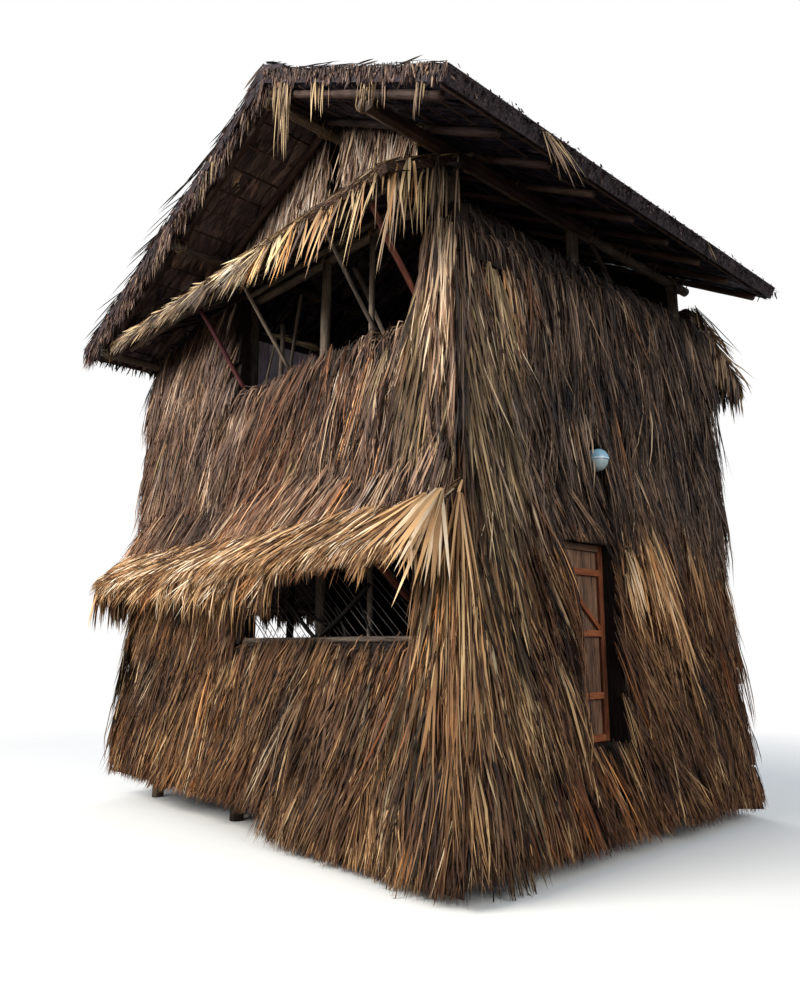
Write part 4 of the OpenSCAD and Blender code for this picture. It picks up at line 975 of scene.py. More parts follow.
def nearFans():
    # a bright palm fan over the near end of the lower awning, and two that fold round the corner under it
    x, y = wallX + 0.24, -wallY
    fans = [
        fanLeaves((x, y - 0.42, 2.98), (0.8, -0.5, 0.3), (-0.2, -0.68, -0.66), (0.0, 0.06, -1.0), 15, 0.86,
                  (0.03, 0.044), 0.8, lift=0.03, ragged=0.025, hue=0.5, drop=(0.0, 0.06)),
        fanLeaves((x - 0.12, y - 0.44, 2.96), (0.5, -0.8, 0.3), (-0.8, -0.5, -0.42), (-0.3, -0.6, -0.72), 10,
                  0.66, (0.024, 0.038), 0.72, lift=0.03, ragged=0.04, hue=0.52, drop=(0.0, 0.06)),
        fanLeaves((x + 0.02, y - 0.24, 2.98), (1, -0.3, 0), (-0.1, -0.2, -1.0), (0.04, 0.3, -1.0), 13, 0.8,
                  (0.016, 0.028), 0.66, lift=0.03, hue=0.5),
    ]
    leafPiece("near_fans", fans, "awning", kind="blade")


def nearCornerFans():
    # long bundles down the near corner: on its front, on its side, and over its edge
    count = 170
    z = spread(count, 0.7, 5.1)
    thick = wallThick(z) + 0.05
    onFront = dice.random(count) < 0.5
    slide = spread(count, -0.34, 0.12)
    roots = xyz(wallX + np.where(onFront, slide, thick), -wallY - np.where(onFront, thick, slide), z)
    out, first, last = [np.where(onFront[:, None], np.array(a), np.array(b)) for a, b in (
        ((0.35, -1, 0), (1, -0.35, 0)), *zip(fanSides["front"], fanSides["right"]))]
    tone = spread(count, 0.26, 0.7) - 0.08 * (z < darkBelow)
    faces = fanLeaves(roots, out, first, last, 12, np.minimum(0.95, z * 0.9 + 0.1), (0.011, 0.023), tone,
                      lift=0.03, hue=dice.normal(0.5, 0.17, count))
    count = 70
    z = spread(count, 1.6, 5.25)
    thick = (wallThick(z) + 0.045) * 0.85
    roots = xyz(wallX + thick + spread(count, -0.05, 0.03), -wallY - thick - spread(count, -0.05, 0.03), z)
    edge = fanLeaves(roots, (0.8, -0.6, 0), *fanSides["corner"], 12, spread(count, 0.5, 0.8), (0.012, 0.024),
                     spread(count, 0.42, 0.72) - 0.13 * (z < darkBelow), lift=0.05,
                     hue=dice.normal(0.52, 0.16, count))
    return [clearOfWindow(b) for b in (faces, edge)]


def looseFans():
    # single bundles on the front's skirt and parapet, on the far left corner and on both rear corners
    count = 46
    u = spread(count, -2.3, 2.3)
    z = np.where(dice.random(count) < 0.5, spread(count, 0.8, 1.7), spread(count, 3.6, 4.5))
    roots = xyz(u, -wallY - wallThick(z) - 0.045, z)
    fans = [fanLeaves(roots, (0, -1, 0), *fanSides["parapet"], 11, 0.6, (0.008, 0.016),
                      spread(count, 0.35, 0.8), lift=0.04, hue=dice.normal(0.45, 0.18, count))]
    count = 9
    z = spread(count, 4.95, 5.45)
    roots = xyz(-wallX - spread(count, 0.0, 0.14), -wallY - spread(count, 0.0, 0.14), z)
    fans.append(fanLeaves(roots, (-0.5, -0.5, 0), *fanSides["farTop"], 9, 0.42, (0.01, 0.02),
                          spread(count, 0.25, 0.5), lift=0.04, hue=0.25))
    count = 60
    z = spread(count, 1.0, 2.5)
    thick = wallThick(z)
    roots = xyz(-wallX - thick - spread(count, -0.12, 0.1), -wallY - thick + spread(count, -0.1, 0.14), z)
    fans.append(fanLeaves(roots, (-0.5, -0.7, 0), *fanSides["farLow"], 11, 0.55, (0.01, 0.02),
                          spread(count, 0.3, 0.62), lift=0.05, hue=dice.normal(0.47, 0.14, count)))
    count = 90
    z = spread(count, 0.9, 5.2)
    side = dice.choice([-1.0, 1.0], count)
    reach = wallThick(z) + 0.03
    roots = xyz(side * (wallX + reach * spread(count, 0.1, 1.0)), wallY + reach * spread(count, 0.1, 1.0), z)
    fans.append(fanLeaves(roots, xyz(side, 1, 0), *fanSides["rear"], 10, np.minimum(0.8, z * 0.9),
                          (0.012, 0.024), spread(count, 0.3, 0.6), lift=0.04,
                          hue=dice.normal(0.42, 0.15, count)))
    return fans


def rightWallFans():
    # thin bundles over the whole right wall, and brighter leaves beside the door's hinge side
    count = 44
    z = spread(count, 1.0, 5.2)
    roots = xyz(wallX + wallThick(z) + 0.04, spread(count, -2.0, 1.9), z)
    thin = fanLeaves(roots, (1, 0, 0), *fanSides["side"], 11, 0.6, (0.008, 0.016), spread(count, 0.35, 0.72),
                     lift=0.03, hue=dice.normal(0.4, 0.16, count))
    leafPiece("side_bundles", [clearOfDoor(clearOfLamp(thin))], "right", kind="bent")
    y, z, length, tone, hue = np.array(hingeSideFans).T
    bright = fanLeaves(xyz(wallX + wallThick(z) + 0.08, y, z), (1, 0, 0), *fanSides["hinge"], 13, length,
                       (0.014, 0.03), tone + 0.16, lift=0.04, hue=hue)
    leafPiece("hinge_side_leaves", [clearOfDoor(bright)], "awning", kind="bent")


def cornerFans():
    nearFans()
    bundles = [clearOfDoor(clearOfLamp(b)) for b in nearCornerFans() + looseFans()]
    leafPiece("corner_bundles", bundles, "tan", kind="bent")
    rightWallFans()


# Fans beside the door's hinge side: place along the wall, height, length, tone and hue of each
hingeSideFans = [(0.07, 2.72, 0.55, 0.5, 0.25), (0.1, 2.6, 0.5, 0.55, 0.3), (0.16, 2.78, 0.5, 0.45, 0.4),
                 (0.04, 2.5, 0.5, 0.56, 0.36), (0.3, 2.7, 0.7, 0.5, 0.68), (0.46, 2.55, 0.7, 0.5, 0.7),
                 (0.34, 3.02, 0.8, 0.44, 0.6), (0.42, 3.0, 0.85, 0.5, 0.66), (0.5, 2.85, 0.8, 0.46, 0.62),
                 (0.56, 3.05, 0.75, 0.4, 0.55), (0.62, 2.6, 0.8, 0.48, 0.7), (0.7, 2.95, 0.85, 0.44, 0.6),
                 (0.78, 2.5, 0.75, 0.42, 0.66), (0.9, 2.2, 0.7, 0.36, 0.55), (1.2, 3.0, 0.7, 0.34, 0.5),
                 (1.45, 2.9, 0.75, 0.36, 0.5), (1.0, 1.7, 0.7, 0.32, 0.45)]


def clearOfWindow(b):
    # no strip of the corner's bundles hangs across the lower window
    tip = tipsOf(b)
    level = (b["root"][:, 2] > 1.95) & (tip[:, 2] < 2.85)
    return keepOnly(b, ~(level & (tip[:, 0] < lattice["right"] + 0.06)))


def clearOfDoor(b):
    # no strip of the loose bundles hangs in front of the door
    root, tip = b["root"], tipsOf(b)
    low, high = doorway["near"] - 0.05, doorway["far"] + 0.05
    inside = ((root[:, 1] > low) & (root[:, 1] < high)) | ((tip[:, 1] > low) & (tip[:, 1] < high))
    return keepOnly(b, ~(inside & (root[:, 0] > wallX) & (tip[:, 2] < 2.72) & (root[:, 2] > 0.95)))


def slopeSide(side):
    # downslope direction, normal and the length of one roof slope
    low = np.array([roof[side + "X"] - roof["ridgeX"], 0, roof[side + "Z"] - roof["ridgeZ"]])
    length = np.linalg.norm(low)
    down = low / length
    return down, np.array([-down[2] * np.sign(down[0]), 0, abs(down[0])]), length


def onRoof(down, s, y):
    # points s metres down a slope from the ridge line, at y
    points = np.array([roof["ridgeX"], 0, roof["ridgeZ"]]) + scaled(down, s)
    points[:, 1] += y
    return points


def roofTopLeaves():
    # broad leaves in courses down both slopes, tips over the eaves, and a row of them across the ridge
    batches = []
    course, leftLimit = 0.3, -3.02
    for side, count in (("right", 6500), ("left", 10500)):
        down, normal, length = slopeSide(side)
        s = dice.integers(0, int(length / course), count) * course
        s = np.clip(s + dice.normal(0.04, 0.05, count), 0.0, length - 0.12)
        y = spread(count, roof["front"], roof["back"])
        span = np.minimum(spread(count, 0.4, 0.7), length + spread(count, -0.02, 0.08) - s)
        root = onRoof(down, s, y) + scaled(normal, spread(count, 0.0, 0.02))
        aim = leaned(down, alongY, dice.normal(0, 0.13, count)) + scaled(normal, spread(count, -0.03, 0.008))
        beyond = np.maximum(0, s + span - length) / span
        fall = scaled(-up, 0.5 * beyond) - scaled(normal, spread(count, 0.0, 0.05))
        toVerge = np.minimum(y - roof["front"], roof["back"] - y)
        wide = spread(count, 0.02, 0.036) * np.where(toVerge < 0.25, 0.5, 1.0)
        batches.append(batch(root, aim, span, wide, normal, dice.normal(0.5, 0.26, count), fall=fall,
                             roll=0.2, twist=0.25))
    count = 1500
    y = spread(count, roof["front"], roof["back"])
    sign = dice.choice([-1.0, 1.0], count)
    root = xyz(roof["ridgeX"] + 0.02 * sign, y, roof["ridgeZ"] + 0.05 + spread(count, -0.01, 0.02))
    aim = xyz(sign * 0.86, dice.normal(0, 0.12, count), -0.5)
    batches.append(batch(root, aim, spread(count, 0.28, 0.42), spread(count, 0.018, 0.032), up,
                         dice.normal(0.55, 0.22, count), roll=0.25))
    for b in batches:
        past = leftLimit - tipsOf(b)[:, 0]
        b["length"] = np.where(past > 0, np.maximum(0.1, b["length"] - past), b["length"])
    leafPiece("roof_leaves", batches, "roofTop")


def vergeFringe(end, sign, count):
    # a ragged dark fringe along one verge, longer on the left slope than on the right one
    x = spread(count, roof["leftX"] - 2.0, roof["rightX"])
    x = np.where(x < roof["leftX"], x + 2.4, x)
    onLeft = x < roof["ridgeX"]
    wave = 0.75 + 0.4 * np.sin(71.3 * np.floor(x / 0.09))
    back = np.where(onLeft, spread(count, 0.0, 0.1), spread(count, -0.015, 0.0))
    z = roofTopZ(x) - np.where(onLeft, 0.02, -0.015) - spread(count, 0.0, 0.09)
    lean = dice.normal(-0.12, 0.24, count)
    aim = xyz(np.sin(lean), sign * np.where(onLeft, spread(count, 0.0, 0.3), 0.03), -np.cos(lean))
    reach = np.where(onLeft, spread(count, 0.1, 0.34) * wave, spread(count, 0.05, 0.15) * wave)
    return batch(xyz(x, end - sign * back, z), aim, reach, spread(count, 0.009, 0.019), (0, sign, 0),
                 dice.normal(0.5, 0.24, count), roll=0.6)


def vergeHanging(end, sign):
    # separate lighter tufts that hang from one verge; the front one has those of vergeTufts too
    places = spread(9, roof["leftX"] + 0.2, roof["ridgeX"] - 0.2)
    reach, bright = spread(len(places), 0.25, 0.45), spread(len(places), 0.3, 0.5)
    if sign < 0:
        places, reach, bright = np.concatenate([[places, reach, bright], columns(vergeTufts)], axis=1)
    pick = np.repeat(np.arange(len(places)), 10)
    n = len(pick)
    x = places[pick] + dice.normal(0, 0.035, n)
    root = xyz(x, end - sign * spread(n, 0.0, 0.06), roofTopZ(x) - spread(n, 0.02, 0.1))
    lean = -0.16 + dice.normal(0, 0.1, len(places))[pick] + dice.normal(0, 0.1, n)
    outward = spread(n, 0.02, 0.14)
    aim = xyz(np.sin(lean), sign * outward, -np.cos(lean))
    fall = xyz(-0.4 * np.sin(lean), -0.9 * sign * outward, 0)
    return batch(root, aim, reach[pick] * spread(n, 0.5, 1.1), spread(n, 0.009, 0.018), (0, sign, 0),
                 bright[pick] + dice.normal(0, 0.12, n), hue=dice.normal(0.46, 0.14, len(places))[pick],
                 fall=fall, roll=0.6)


def roofEdges():
    # dark fringes and lighter tufts along both verges and both eaves
    fringe, tufts = [], []
    for end, sign, count in ((roof["front"], -1.0, 3700), (roof["back"], 1.0, 1400)):
        fringe.append(vergeFringe(end, sign, count))
        tufts.append(vergeHanging(end, sign))
    # fine strands down the slope along the front verge's upper edge
    down, normal, length = slopeSide("left")
    count = 900
    s = spread(count, 0.0, length - 0.1)
    root = onRoof(down, s, 0) + scaled(normal, spread(count, -0.05, 0.02))
    root[:, 1] += roof["front"] + spread(count, -0.01, 0.1)
    aim = down + xyz(0, -spread(count, 0.0, 0.25), -spread(count, 0.0, 0.35))
    fringe.append(batch(root, aim, spread(count, 0.05, 0.13), spread(count, 0.006, 0.013), normal,
                        dice.normal(0.6, 0.2, count)))
    # the dark edge of both eaves
    for side, sign, reach in (("right", 1, (0.02, 0.06)), ("left", -1, (0.06, 0.2))):
        count = 1100
        y = spread(count, roof["front"], roof["back"])
        x = roof[side + "X"] - sign * spread(count, 0.0, 0.14)
        root = xyz(x, y, roof[side + "Z"] - spread(count, -0.05, 0.08))
        lean = dice.normal(0, 0.25, count)
        aim = xyz(sign * spread(count, 0.05, 0.45), np.sin(lean), -np.cos(lean))
        fringe.append(batch(root, aim, spread(count, *reach), spread(count, 0.01, 0.022), (sign, 0, 0),
                            dice.normal(0.3, 0.2, count), roll=0.6))
    # three tufts that hang from the right eave near its front end
    eave = xyz(roof["rightX"] - 0.02, np.array([-1.98, -1.84, 0.7]), roof["rightZ"] + 0.02)
    tufts.append(fanLeaves(eave, (1, 0, 0), (0.1, 0.3, -0.95), (0.1, 0.95, -0.3), 9, (0.36, 0.42, 0.2),
                           (0.01, 0.02), (0.6, 0.5, 0.4), lift=0.05, ragged=0.07, hue=0.42, drop=(0.1, 0.35)))
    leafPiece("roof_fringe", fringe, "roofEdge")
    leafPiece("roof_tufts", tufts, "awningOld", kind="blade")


# Tufts of the front verge: x, length and tone, from the left eave to the right
vergeTufts = [(-1.68, 0.4, 0.44), (-1.18, 0.34, 0.4), (-0.81, 0.42, 0.42), (-0.36, 0.3, 0.46),
              (0.07, 0.45, 0.44), (0.26, 0.36, 0.5), (0.84, 0.42, 0.46), (1.42, 0.5, 0.6), (1.47, 0.8, 0.72),
              (1.52, 0.76, 0.7), (1.57, 0.55, 0.6), (1.98, 0.46, 0.72), (2.04, 0.4, 0.66), (2.65, 0.26, 0.62),
              (2.8, 0.3, 0.5), (3.3, 0.34, 0.4)]


def roofUnderside():
    # flat blades under both slopes, between the battens, seen from below at the verge and the eaves
    for side, count, look in (("right", 2600, "roofShade"), ("left", 4200, "roofUnder")):
        down, normal, length = slopeSide(side)
        s = spread(count, 0.1, length - 0.3)
        y = spread(count, roof["front"] + 0.03, roof["back"] - 0.03)
        root = onRoof(down, s, y) - scaled(normal, roof["thick"] + spread(count, 0.003, 0.012))
        aim = leaned(down, alongY, dice.normal(0, 0.12, count))
        fall = scaled(-normal, spread(count, 0.0, 0.05))
        blades = batch(root, aim, spread(count, 0.25, 0.42), spread(count, 0.045, 0.085), normal,
                       dice.normal(0.42, 0.2, count), fall=fall, roll=0.12, twist=0.2)
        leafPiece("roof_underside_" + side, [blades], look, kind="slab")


frontWallLeaves()
rightWallLeaves()
rearWallLeaves()
gableLeaves()
awningLeaves()
cornerFans()
roofTopLeaves()
roofEdges()
roofUnderside()
print("leaves hung")


# Poles: each packed straight pole is measured, and a bent, knotted one is grown in its place


def islandsOf(node):
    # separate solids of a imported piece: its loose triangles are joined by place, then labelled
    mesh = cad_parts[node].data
    co = np.empty(len(mesh.vertices) * 3, np.float32)
    mesh.vertices.foreach_get("co", co)
    corner = np.empty(len(mesh.loops), np.int32)
    mesh.loops.foreach_get("vertex_index", corner)
    grid = np.round(co.reshape(-1, 3) * 20000.0).astype(np.int64)
    keys, shared = np.unique(grid, axis=0, return_inverse=True)
    tri = shared.ravel()[corner].reshape(-1, 3)
    label = np.arange(len(keys))
    changed = True
    while changed:
        low = label[tri].min(axis=1)
        new = label.copy()
        for k in range(3):
            np.minimum.at(new, tri[:, k], low)
        new = new[new]
        changed = not np.array_equal(new, label)
        label = new
    return [keys[label == which] / 20000.0 for which in np.unique(label)]


def axisOf(points):
    # ends and radius of a round pole, from the main direction of its points
    centre = points.mean(axis=0)
    direction = np.linalg.svd(points - centre, full_matrices=False)[2][0]
    place = (points - centre) @ direction
    radius = np.linalg.norm(points - centre - scaled(direction, place), axis=1).max()
    ends = [centre + direction * place.min(), centre + direction * place.max()]
    if ends[0][2] > ends[1][2] + 0.01:
        ends.reverse()
    return ends[0], ends[1], radius


def prismFaces(n, rings, sides):
    # faces of n closed prisms, quads between the rings and two end caps, with the place of each quad's
    # corners round the ring, counted in sides, and along the prism, from 0 to 1
    i, j = np.arange(rings - 1)[:, None, None], np.arange(sides)[None, :, None]
    around, upwards = j + np.array([0, 1, 1, 0]) + 0 * i, i + np.array([0, 0, 1, 1]) + 0 * j
    quads = (upwards * sides + around % sides).reshape(-1, 4)
    corners = np.concatenate([quads.ravel(), np.arange(sides)[::-1], (rings - 1) * sides + np.arange(sides)])
    firsts = np.append(4 * np.arange(len(quads) + 1), 4 * len(quads) + sides)
    loops = (corners[None, :] + rings * sides * np.arange(n)[:, None]).ravel()
    starts = (firsts[None, :] + len(corners) * np.arange(n)[:, None]).ravel()
    return loops, starts, around.ravel(), upwards.ravel() / (rings - 1)


def ownTones(n, places):
    # a random tone and hue for each of n pieces of wood, and the place along it
    leaf = np.ones((n, places.shape[1], 4))
    leaf[:, :, 0] = dice.random(n)[:, None]
    leaf[:, :, 1] = dice.random(n)[:, None]
    leaf[:, :, 2] = places
    return leaf.reshape(-1, 4)


def tubeMesh(p0, p1, radius, rings, sides, bend=0.2, taper=0.12, knots=0.05):
    # n tubes at once: centre line p0 + (p1 - p0) t + bend r (sin pi t, sin 2 pi t); the radius tapers with t
    # and swells in slow waves and at knots
    n = len(p0)
    t = np.linspace(0, 1, rings)[None, :]
    axis = p1 - p0
    length = np.linalg.norm(axis, axis=1)
    d = axis / length[:, None]
    helper = np.where(np.abs(d[:, 2:3]) > 0.9, np.array([[1.0, 0, 0]]), up)
    e1 = unit(np.cross(d, helper))
    e2 = np.cross(d, e1)
    phase = spread(n, 0, 6.28)[:, None]
    centre = p0[:, None] + axis[:, None] * t[:, :, None]
    for side, part, waves in ((e1, 1.0, 1), (e2, 0.7, 2)):
        sway = bend * radius[:, None] * part * dice.normal(0, 1, (n, 1)).clip(-1.6, 1.6)
        centre = centre + side[:, None] * (sway * np.sin(waves * np.pi * t))[:, :, None]
    knot = knots * np.maximum(0, np.sin(length[:, None] * t * 9 + phase)) ** 6
    theta = np.linspace(0, 2 * np.pi, sides + 1)[:-1]
    turns = phase[:, :, None]
    lobes = 1 + 0.035 * np.sin(2 * theta + turns) + 0.02 * np.sin(5 * theta + 3 * turns + 6 * t[:, :, None])
    r = (radius[:, None] * (1 - taper * (t - 0.35) + knot))[:, :, None] * lobes
    round1, round2 = np.cos(theta)[:, None] * e1[:, None, None], np.sin(theta)[:, None] * e2[:, None, None]
    co = (centre[:, :, None] + r[..., None] * (round1 + round2)).reshape(-1, 3)
    loops, starts, around, upwards = prismFaces(n, rings, sides)
    u = upwards[None, :] * length[:, None] + spread(n, 0, 50)[:, None]
    v = (around / sides)[None, :] * (2 * np.pi * radius)[:, None]
    u = np.concatenate([u, np.tile(np.cos(theta), 2)[None, :] * radius[:, None] * 0.2], axis=1)
    v = np.concatenate([v, np.tile(np.sin(theta), 2)[None, :] * radius[:, None]], axis=1)
    leaf = ownTones(n, np.repeat(t, sides, axis=1))
    return co, loops, starts, np.stack([u, v], axis=-1).reshape(-1, 2), leaf


def tubePiece(name, p0, p1, radius, look, slotName, rings, sides, **shape):
    co, loops, starts, uv, leaf = tubeMesh(p0, p1, radius, rings, sides, **shape)
    co[:, 2] = np.maximum(co[:, 2], 0.0)
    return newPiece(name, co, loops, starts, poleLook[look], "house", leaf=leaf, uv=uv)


poleSets = {}


def growPoles(name, nodes, look, slotName, rings, sides, bend):
    measured = [axisOf(points) for node in nodes for points in islandsOf(node) if len(points) > 20]
    p0, p1, radius = poleSets[name] = columns(measured)
    piece = tubePiece(name, p0, p1, radius * 0.99, look, slotName, rings, sides, bend=bend, knots=0.06)
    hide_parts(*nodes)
    print(name, "poles", len(p0))


growPoles("posts", ["corner_posts", "gable_posts", "side_posts"], "grey", "weathered_pole",
          rings=22, sides=20, bend=0.22)
growPoles("floor_poles", ["floor_frames"], "dark", "dark_pole", rings=8, sides=12, bend=0.15)
growPoles("girts", ["wall_girts"], "dark", "dark_pole", rings=9, sides=9, bend=0.2)
growPoles("plates", ["gable_lintels", "roof_plates", "ridge_pole", "knee_brace"], "grey", "weathered_pole",
          rings=16, sides=16, bend=0.2)
growPoles("roof_rafters", ["rafters"], "dark", "dark_pole", rings=12, sides=12, bend=0.2)
growPoles("roof_battens", ["battens"], "dark", "dark_pole", rings=10, sides=8, bend=0.25)
growPoles("awning_poles", ["awning_frames"], "grey", "weathered_pole", rings=10, sides=10, bend=0.3)


def growProps():
    # the propping sticks differ: the two nearest are red-brown, the far left one maroon, the others grey
    measured = [axisOf(points) for points in islandsOf("awning_props")]
    poleSets["props"] = columns(measured)
    parts = (("maroon", -9, -0.4, 0.97), ("grey", -0.4, 1.9, 0.72), ("red", 1.9, 9, 0.97))
    for look, low, high, part in parts:
        p0, p1, radius = columns([m for m in measured if low < m[0][0] < high])
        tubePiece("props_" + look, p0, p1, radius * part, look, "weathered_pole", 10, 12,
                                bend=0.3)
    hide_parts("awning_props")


growProps()


def crossingsOf(a0, a1, ra, b0, b1, rb):
    # where pole a comes near the poles b: both points, directions and radii; s and t run from end to end
    da, db, apart = a1 - a0, b1 - b0, b0 - a0
    cross = np.cross(da, db)
    size = np.linalg.norm(cross, axis=1)
    ok = size > 1e-6 * np.linalg.norm(da)
    safe = np.where(ok, size, 1.0)
    s, t = (dot(np.cross(apart, way), cross) / safe**2 for way in (db, da[None]))
    hit = ok & (np.abs(dot(apart, cross)) / safe < ra + rb + 0.02)
    for place in (s, t):
        hit = hit & (place > -0.02) & (place < 1.02)
    return [(a0 + da * s[j], unit(da), ra, b0[j] + db[j] * t[j], unit(db[j]), rb[j])
            for j in np.nonzero(hit)[0]]


def lashings():
    # rope turned twice both ways round every crossing of a post and a level pole
    holders = {"posts": ["girts", "awning_poles", "plates"], "roof_rafters": ["plates"],
               "awning_poles": ["props"]}
    pairs = [pair for holder, carried in holders.items() for other in carried
             for a0, a1, ra in zip(*poleSets[holder]) for pair in crossingsOf(a0, a1, ra, *poleSets[other])]
    rope, around, sides = 0.006, 12, 3
    pa, ua, ra, pb, ub, rb = columns(pairs, 6)
    normal = pb - pa
    flat = np.linalg.norm(normal, axis=1) < 0.01
    normal[flat] = np.cross(ua, ub)[flat]
    normal = unit(normal)
    apart = dot(pb - pa, normal)
    centre = pa + scaled(normal, (apart + rb - ra) / 2)
    half = (apart + ra + rb) / 2 + rope
    strands = [(centre + unit(ua + sign * ub) * shift * rope * 2.1, unit(ua - sign * ub), normal, half,
                np.maximum(ra, rb) * 1.28 + rope) for sign in (1, -1) for shift in (-0.5, 0.5)]
    c, e1, e2, high, wide = [np.concatenate([s[k] for s in strands]) for k in range(5)]
    n = len(c)
    angle = np.linspace(0, 2 * np.pi, around, endpoint=False)[None, :]
    # a rounded square: each coordinate is the sign of cos or sin times its size to the power 0.8
    x, y = (np.sign(f) * np.abs(f) ** 0.8 for f in (np.cos(angle), np.sin(angle)))
    path = c[:, None] + e1[:, None] * (wide[:, None] * x)[:, :, None]
    path = path + e2[:, None] * (high[:, None] * y)[:, :, None]
    outward = unit(path - c[:, None])
    phi = np.linspace(0, 2 * np.pi, sides, endpoint=False)[None, None, :, None]
    ring = np.cos(phi) * outward[:, :, None] + np.sin(phi) * np.cross(e1, e2)[:, None, None]
    co = (path[:, :, None] + rope * ring).reshape(-1, 3)
    co[:, 2] = np.maximum(co[:, 2], 0.003)
    i, j = np.arange(around)[:, None], np.arange(sides)[None, :]
    i2, j2 = (i + 1) % around, (j + 1) % sides
    quads = np.stack([i * sides + j, i2 * sides + j, i2 * sides + j2, i * sides + j2], axis=-1).reshape(-1, 4)
    loops = (quads.ravel()[None, :] + around * sides * np.arange(n)[:, None]).ravel()
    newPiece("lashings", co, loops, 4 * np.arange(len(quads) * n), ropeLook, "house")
    print("lashings", len(pairs), "triangles", len(quads) * n * 2)


ropeLook = woodMaterial("rope", (58, 46, 34), (112, 92, 68), (160, 138, 106), useUv=False,
                        grain=(160, 160, 160), bump=0.002)
lashings()


# Sawn pieces: bars with worn long edges


def bars(items):
    # each item is (middle of one end, middle of the other end, direction of the width, width, thickness,
    # worn edge); the section is a rectangle with its four corners cut, run from end to end
    n, rings, sides = len(items), 7, 8
    p0, p1, wide, w, h, cut = columns(items, 6)
    axis = p1 - p0
    length = np.linalg.norm(axis, axis=1)
    d = axis / length[:, None]
    wide = unit(wide - scaled(d, dot(wide, d)))
    deep = np.cross(d, wide)
    # signs of the section's eight points across the width and the thickness, and which ones are cut in width
    sx, sy = np.array([1, 1, 1, -1, -1, -1, -1, 1]), np.array([-1, 1, 1, 1, 1, -1, -1, -1])
    cx = np.array([0, 0, 1, 1, 0, 0, 1, 1])
    x, y = sx * (w[:, None] / 2 - cut[:, None] * cx), sy * (h[:, None] / 2 - cut[:, None] * (1 - cx))
    ring = x[:, :, None] * wide[:, None] + y[:, :, None] * deep[:, None]
    t = np.linspace(0, 1, rings)[None, :, None, None]
    warp = dice.normal(0, 0.0006, (n, 1, 1, 1)) * np.sin(np.pi * t) * deep[:, None, None]
    co = p0[:, None, None] + axis[:, None, None] * t + ring[:, None] + warp
    loops, starts, around, upwards = prismFaces(n, rings, sides)
    closed = np.concatenate([ring, ring[:, :1]], axis=1)
    edge = np.cumsum(np.linalg.norm(np.diff(closed, axis=1), axis=2), axis=1)
    edge = np.concatenate([np.zeros((n, 1)), edge], axis=1)
    u = np.concatenate([upwards[None, :] * length[:, None], np.tile(x, 2) * 0.2], axis=1)
    v = np.concatenate([edge[:, around], np.tile(y, 2)], axis=1)
    u = u + spread(n, 0, 40)[:, None]
    leaf = ownTones(n, np.ones((n, rings * sides)))
    return co.reshape(-1, 3), loops, starts, np.stack([u, v], axis=-1).reshape(-1, 2), leaf


def barPiece(name, items, look, body, slotName, *replaced):
    co, loops, starts, uv, leaf = bars(items)
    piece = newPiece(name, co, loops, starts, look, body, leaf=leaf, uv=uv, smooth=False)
    if replaced:
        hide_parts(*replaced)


# The door: number of boards, widths of stiles and ledges, how far a ledge runs under a stile, heights of the
# ledges' lower edges over its foot, the worn edge of its bars, and the inner side of the sill
door = {"boards": 5, "stile": 0.068, "ledge": 0.06, "lap": 0.004,
        "levels": (0.0, 0.374, 0.934, 1.494, 1.724), "worn": 0.003, "sillFrom": 2.55}


def doorPieces():
    # upright boards, and a frame of stiles, ledges and a brace on their outer face
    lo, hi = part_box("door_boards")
    step, x = (hi.y - lo.y) / door["boards"], (lo.x + hi.x) / 2
    boards = []
    for k in range(door["boards"]):
        y = lo.y + (k + 0.5) * step
        foot, head = (x, y, lo.z + 0.003 * (k % 2)), (x, y, hi.z - 0.004 * ((k + 1) % 2))
        boards.append((foot, head, alongY, step - 0.005, hi.x - lo.x, 0.002))
    barPiece("door_planks", boards, boardLook["tan"], "door", "board", "door_boards")
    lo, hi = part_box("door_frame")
    stile, ledge, levels, worn = door["stile"], door["ledge"], door["levels"], door["worn"]
    x, thick = (lo.x + hi.x) / 2, hi.x - lo.x
    frameBars = [((x, y, lo.z), (x, y, hi.z), alongY, stile, thick, worn)
                 for y in (lo.y + stile / 2, hi.y - stile / 2)]
    y0, y1 = lo.y + stile, hi.y - stile
    ledges = [((x, y0 - door["lap"], lo.z + z + ledge / 2), (x, y1 + door["lap"], lo.z + z + ledge / 2), up,
               ledge, thick - 0.002, worn) for z in levels]
    brace = ((x, y0, lo.z + levels[3] - 0.01), (x, y1, lo.z + levels[2] + ledge + 0.01), up, ledge * 0.8,
             thick - 0.005, worn)
    frameBars += ledges[:-1] + [brace]
    barPiece("door_bars", frameBars, boardLook["ledge"], "door", "red_timber", "door_frame")
    barPiece("door_top_ledge", ledges[-1:], boardLook["tan"], "door", "red_timber")
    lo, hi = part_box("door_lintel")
    x, wide, half = (door["sillFrom"] + hi.x) / 2, hi.x - door["sillFrom"], 0.035
    head = (lo.x + half, hi.z - half)
    sides = [((head[0], lo.y, head[1]), (head[0], hi.y, head[1]), up, 2 * half, 2 * half, 0.004),
             ((x, lo.y, lo.z + 0.015), (x, hi.y, lo.z + 0.015), alongX, wide, 0.03, 0.004)]
    barPiece("door_head_and_sill", sides, boardLook["ledge"], "house", "red_timber", "door_lintel")


doorPieces()


# Loose sticks inside the upper opening: both ends and the radius, read from the photograph
innerSticks = [((0.95, -1.74, 5.7), (1.58, -1.74, 4.6), 0.026),
               ((0.02, -1.74, 5.72), (-0.28, -1.74, 4.62), 0.02),
               ((-0.3, -1.77, 5.45), (-0.29, -1.77, 4.6), 0.028),
               ((-0.37, -1.81, 5.3), (-0.62, -1.8, 4.62), 0.012)]


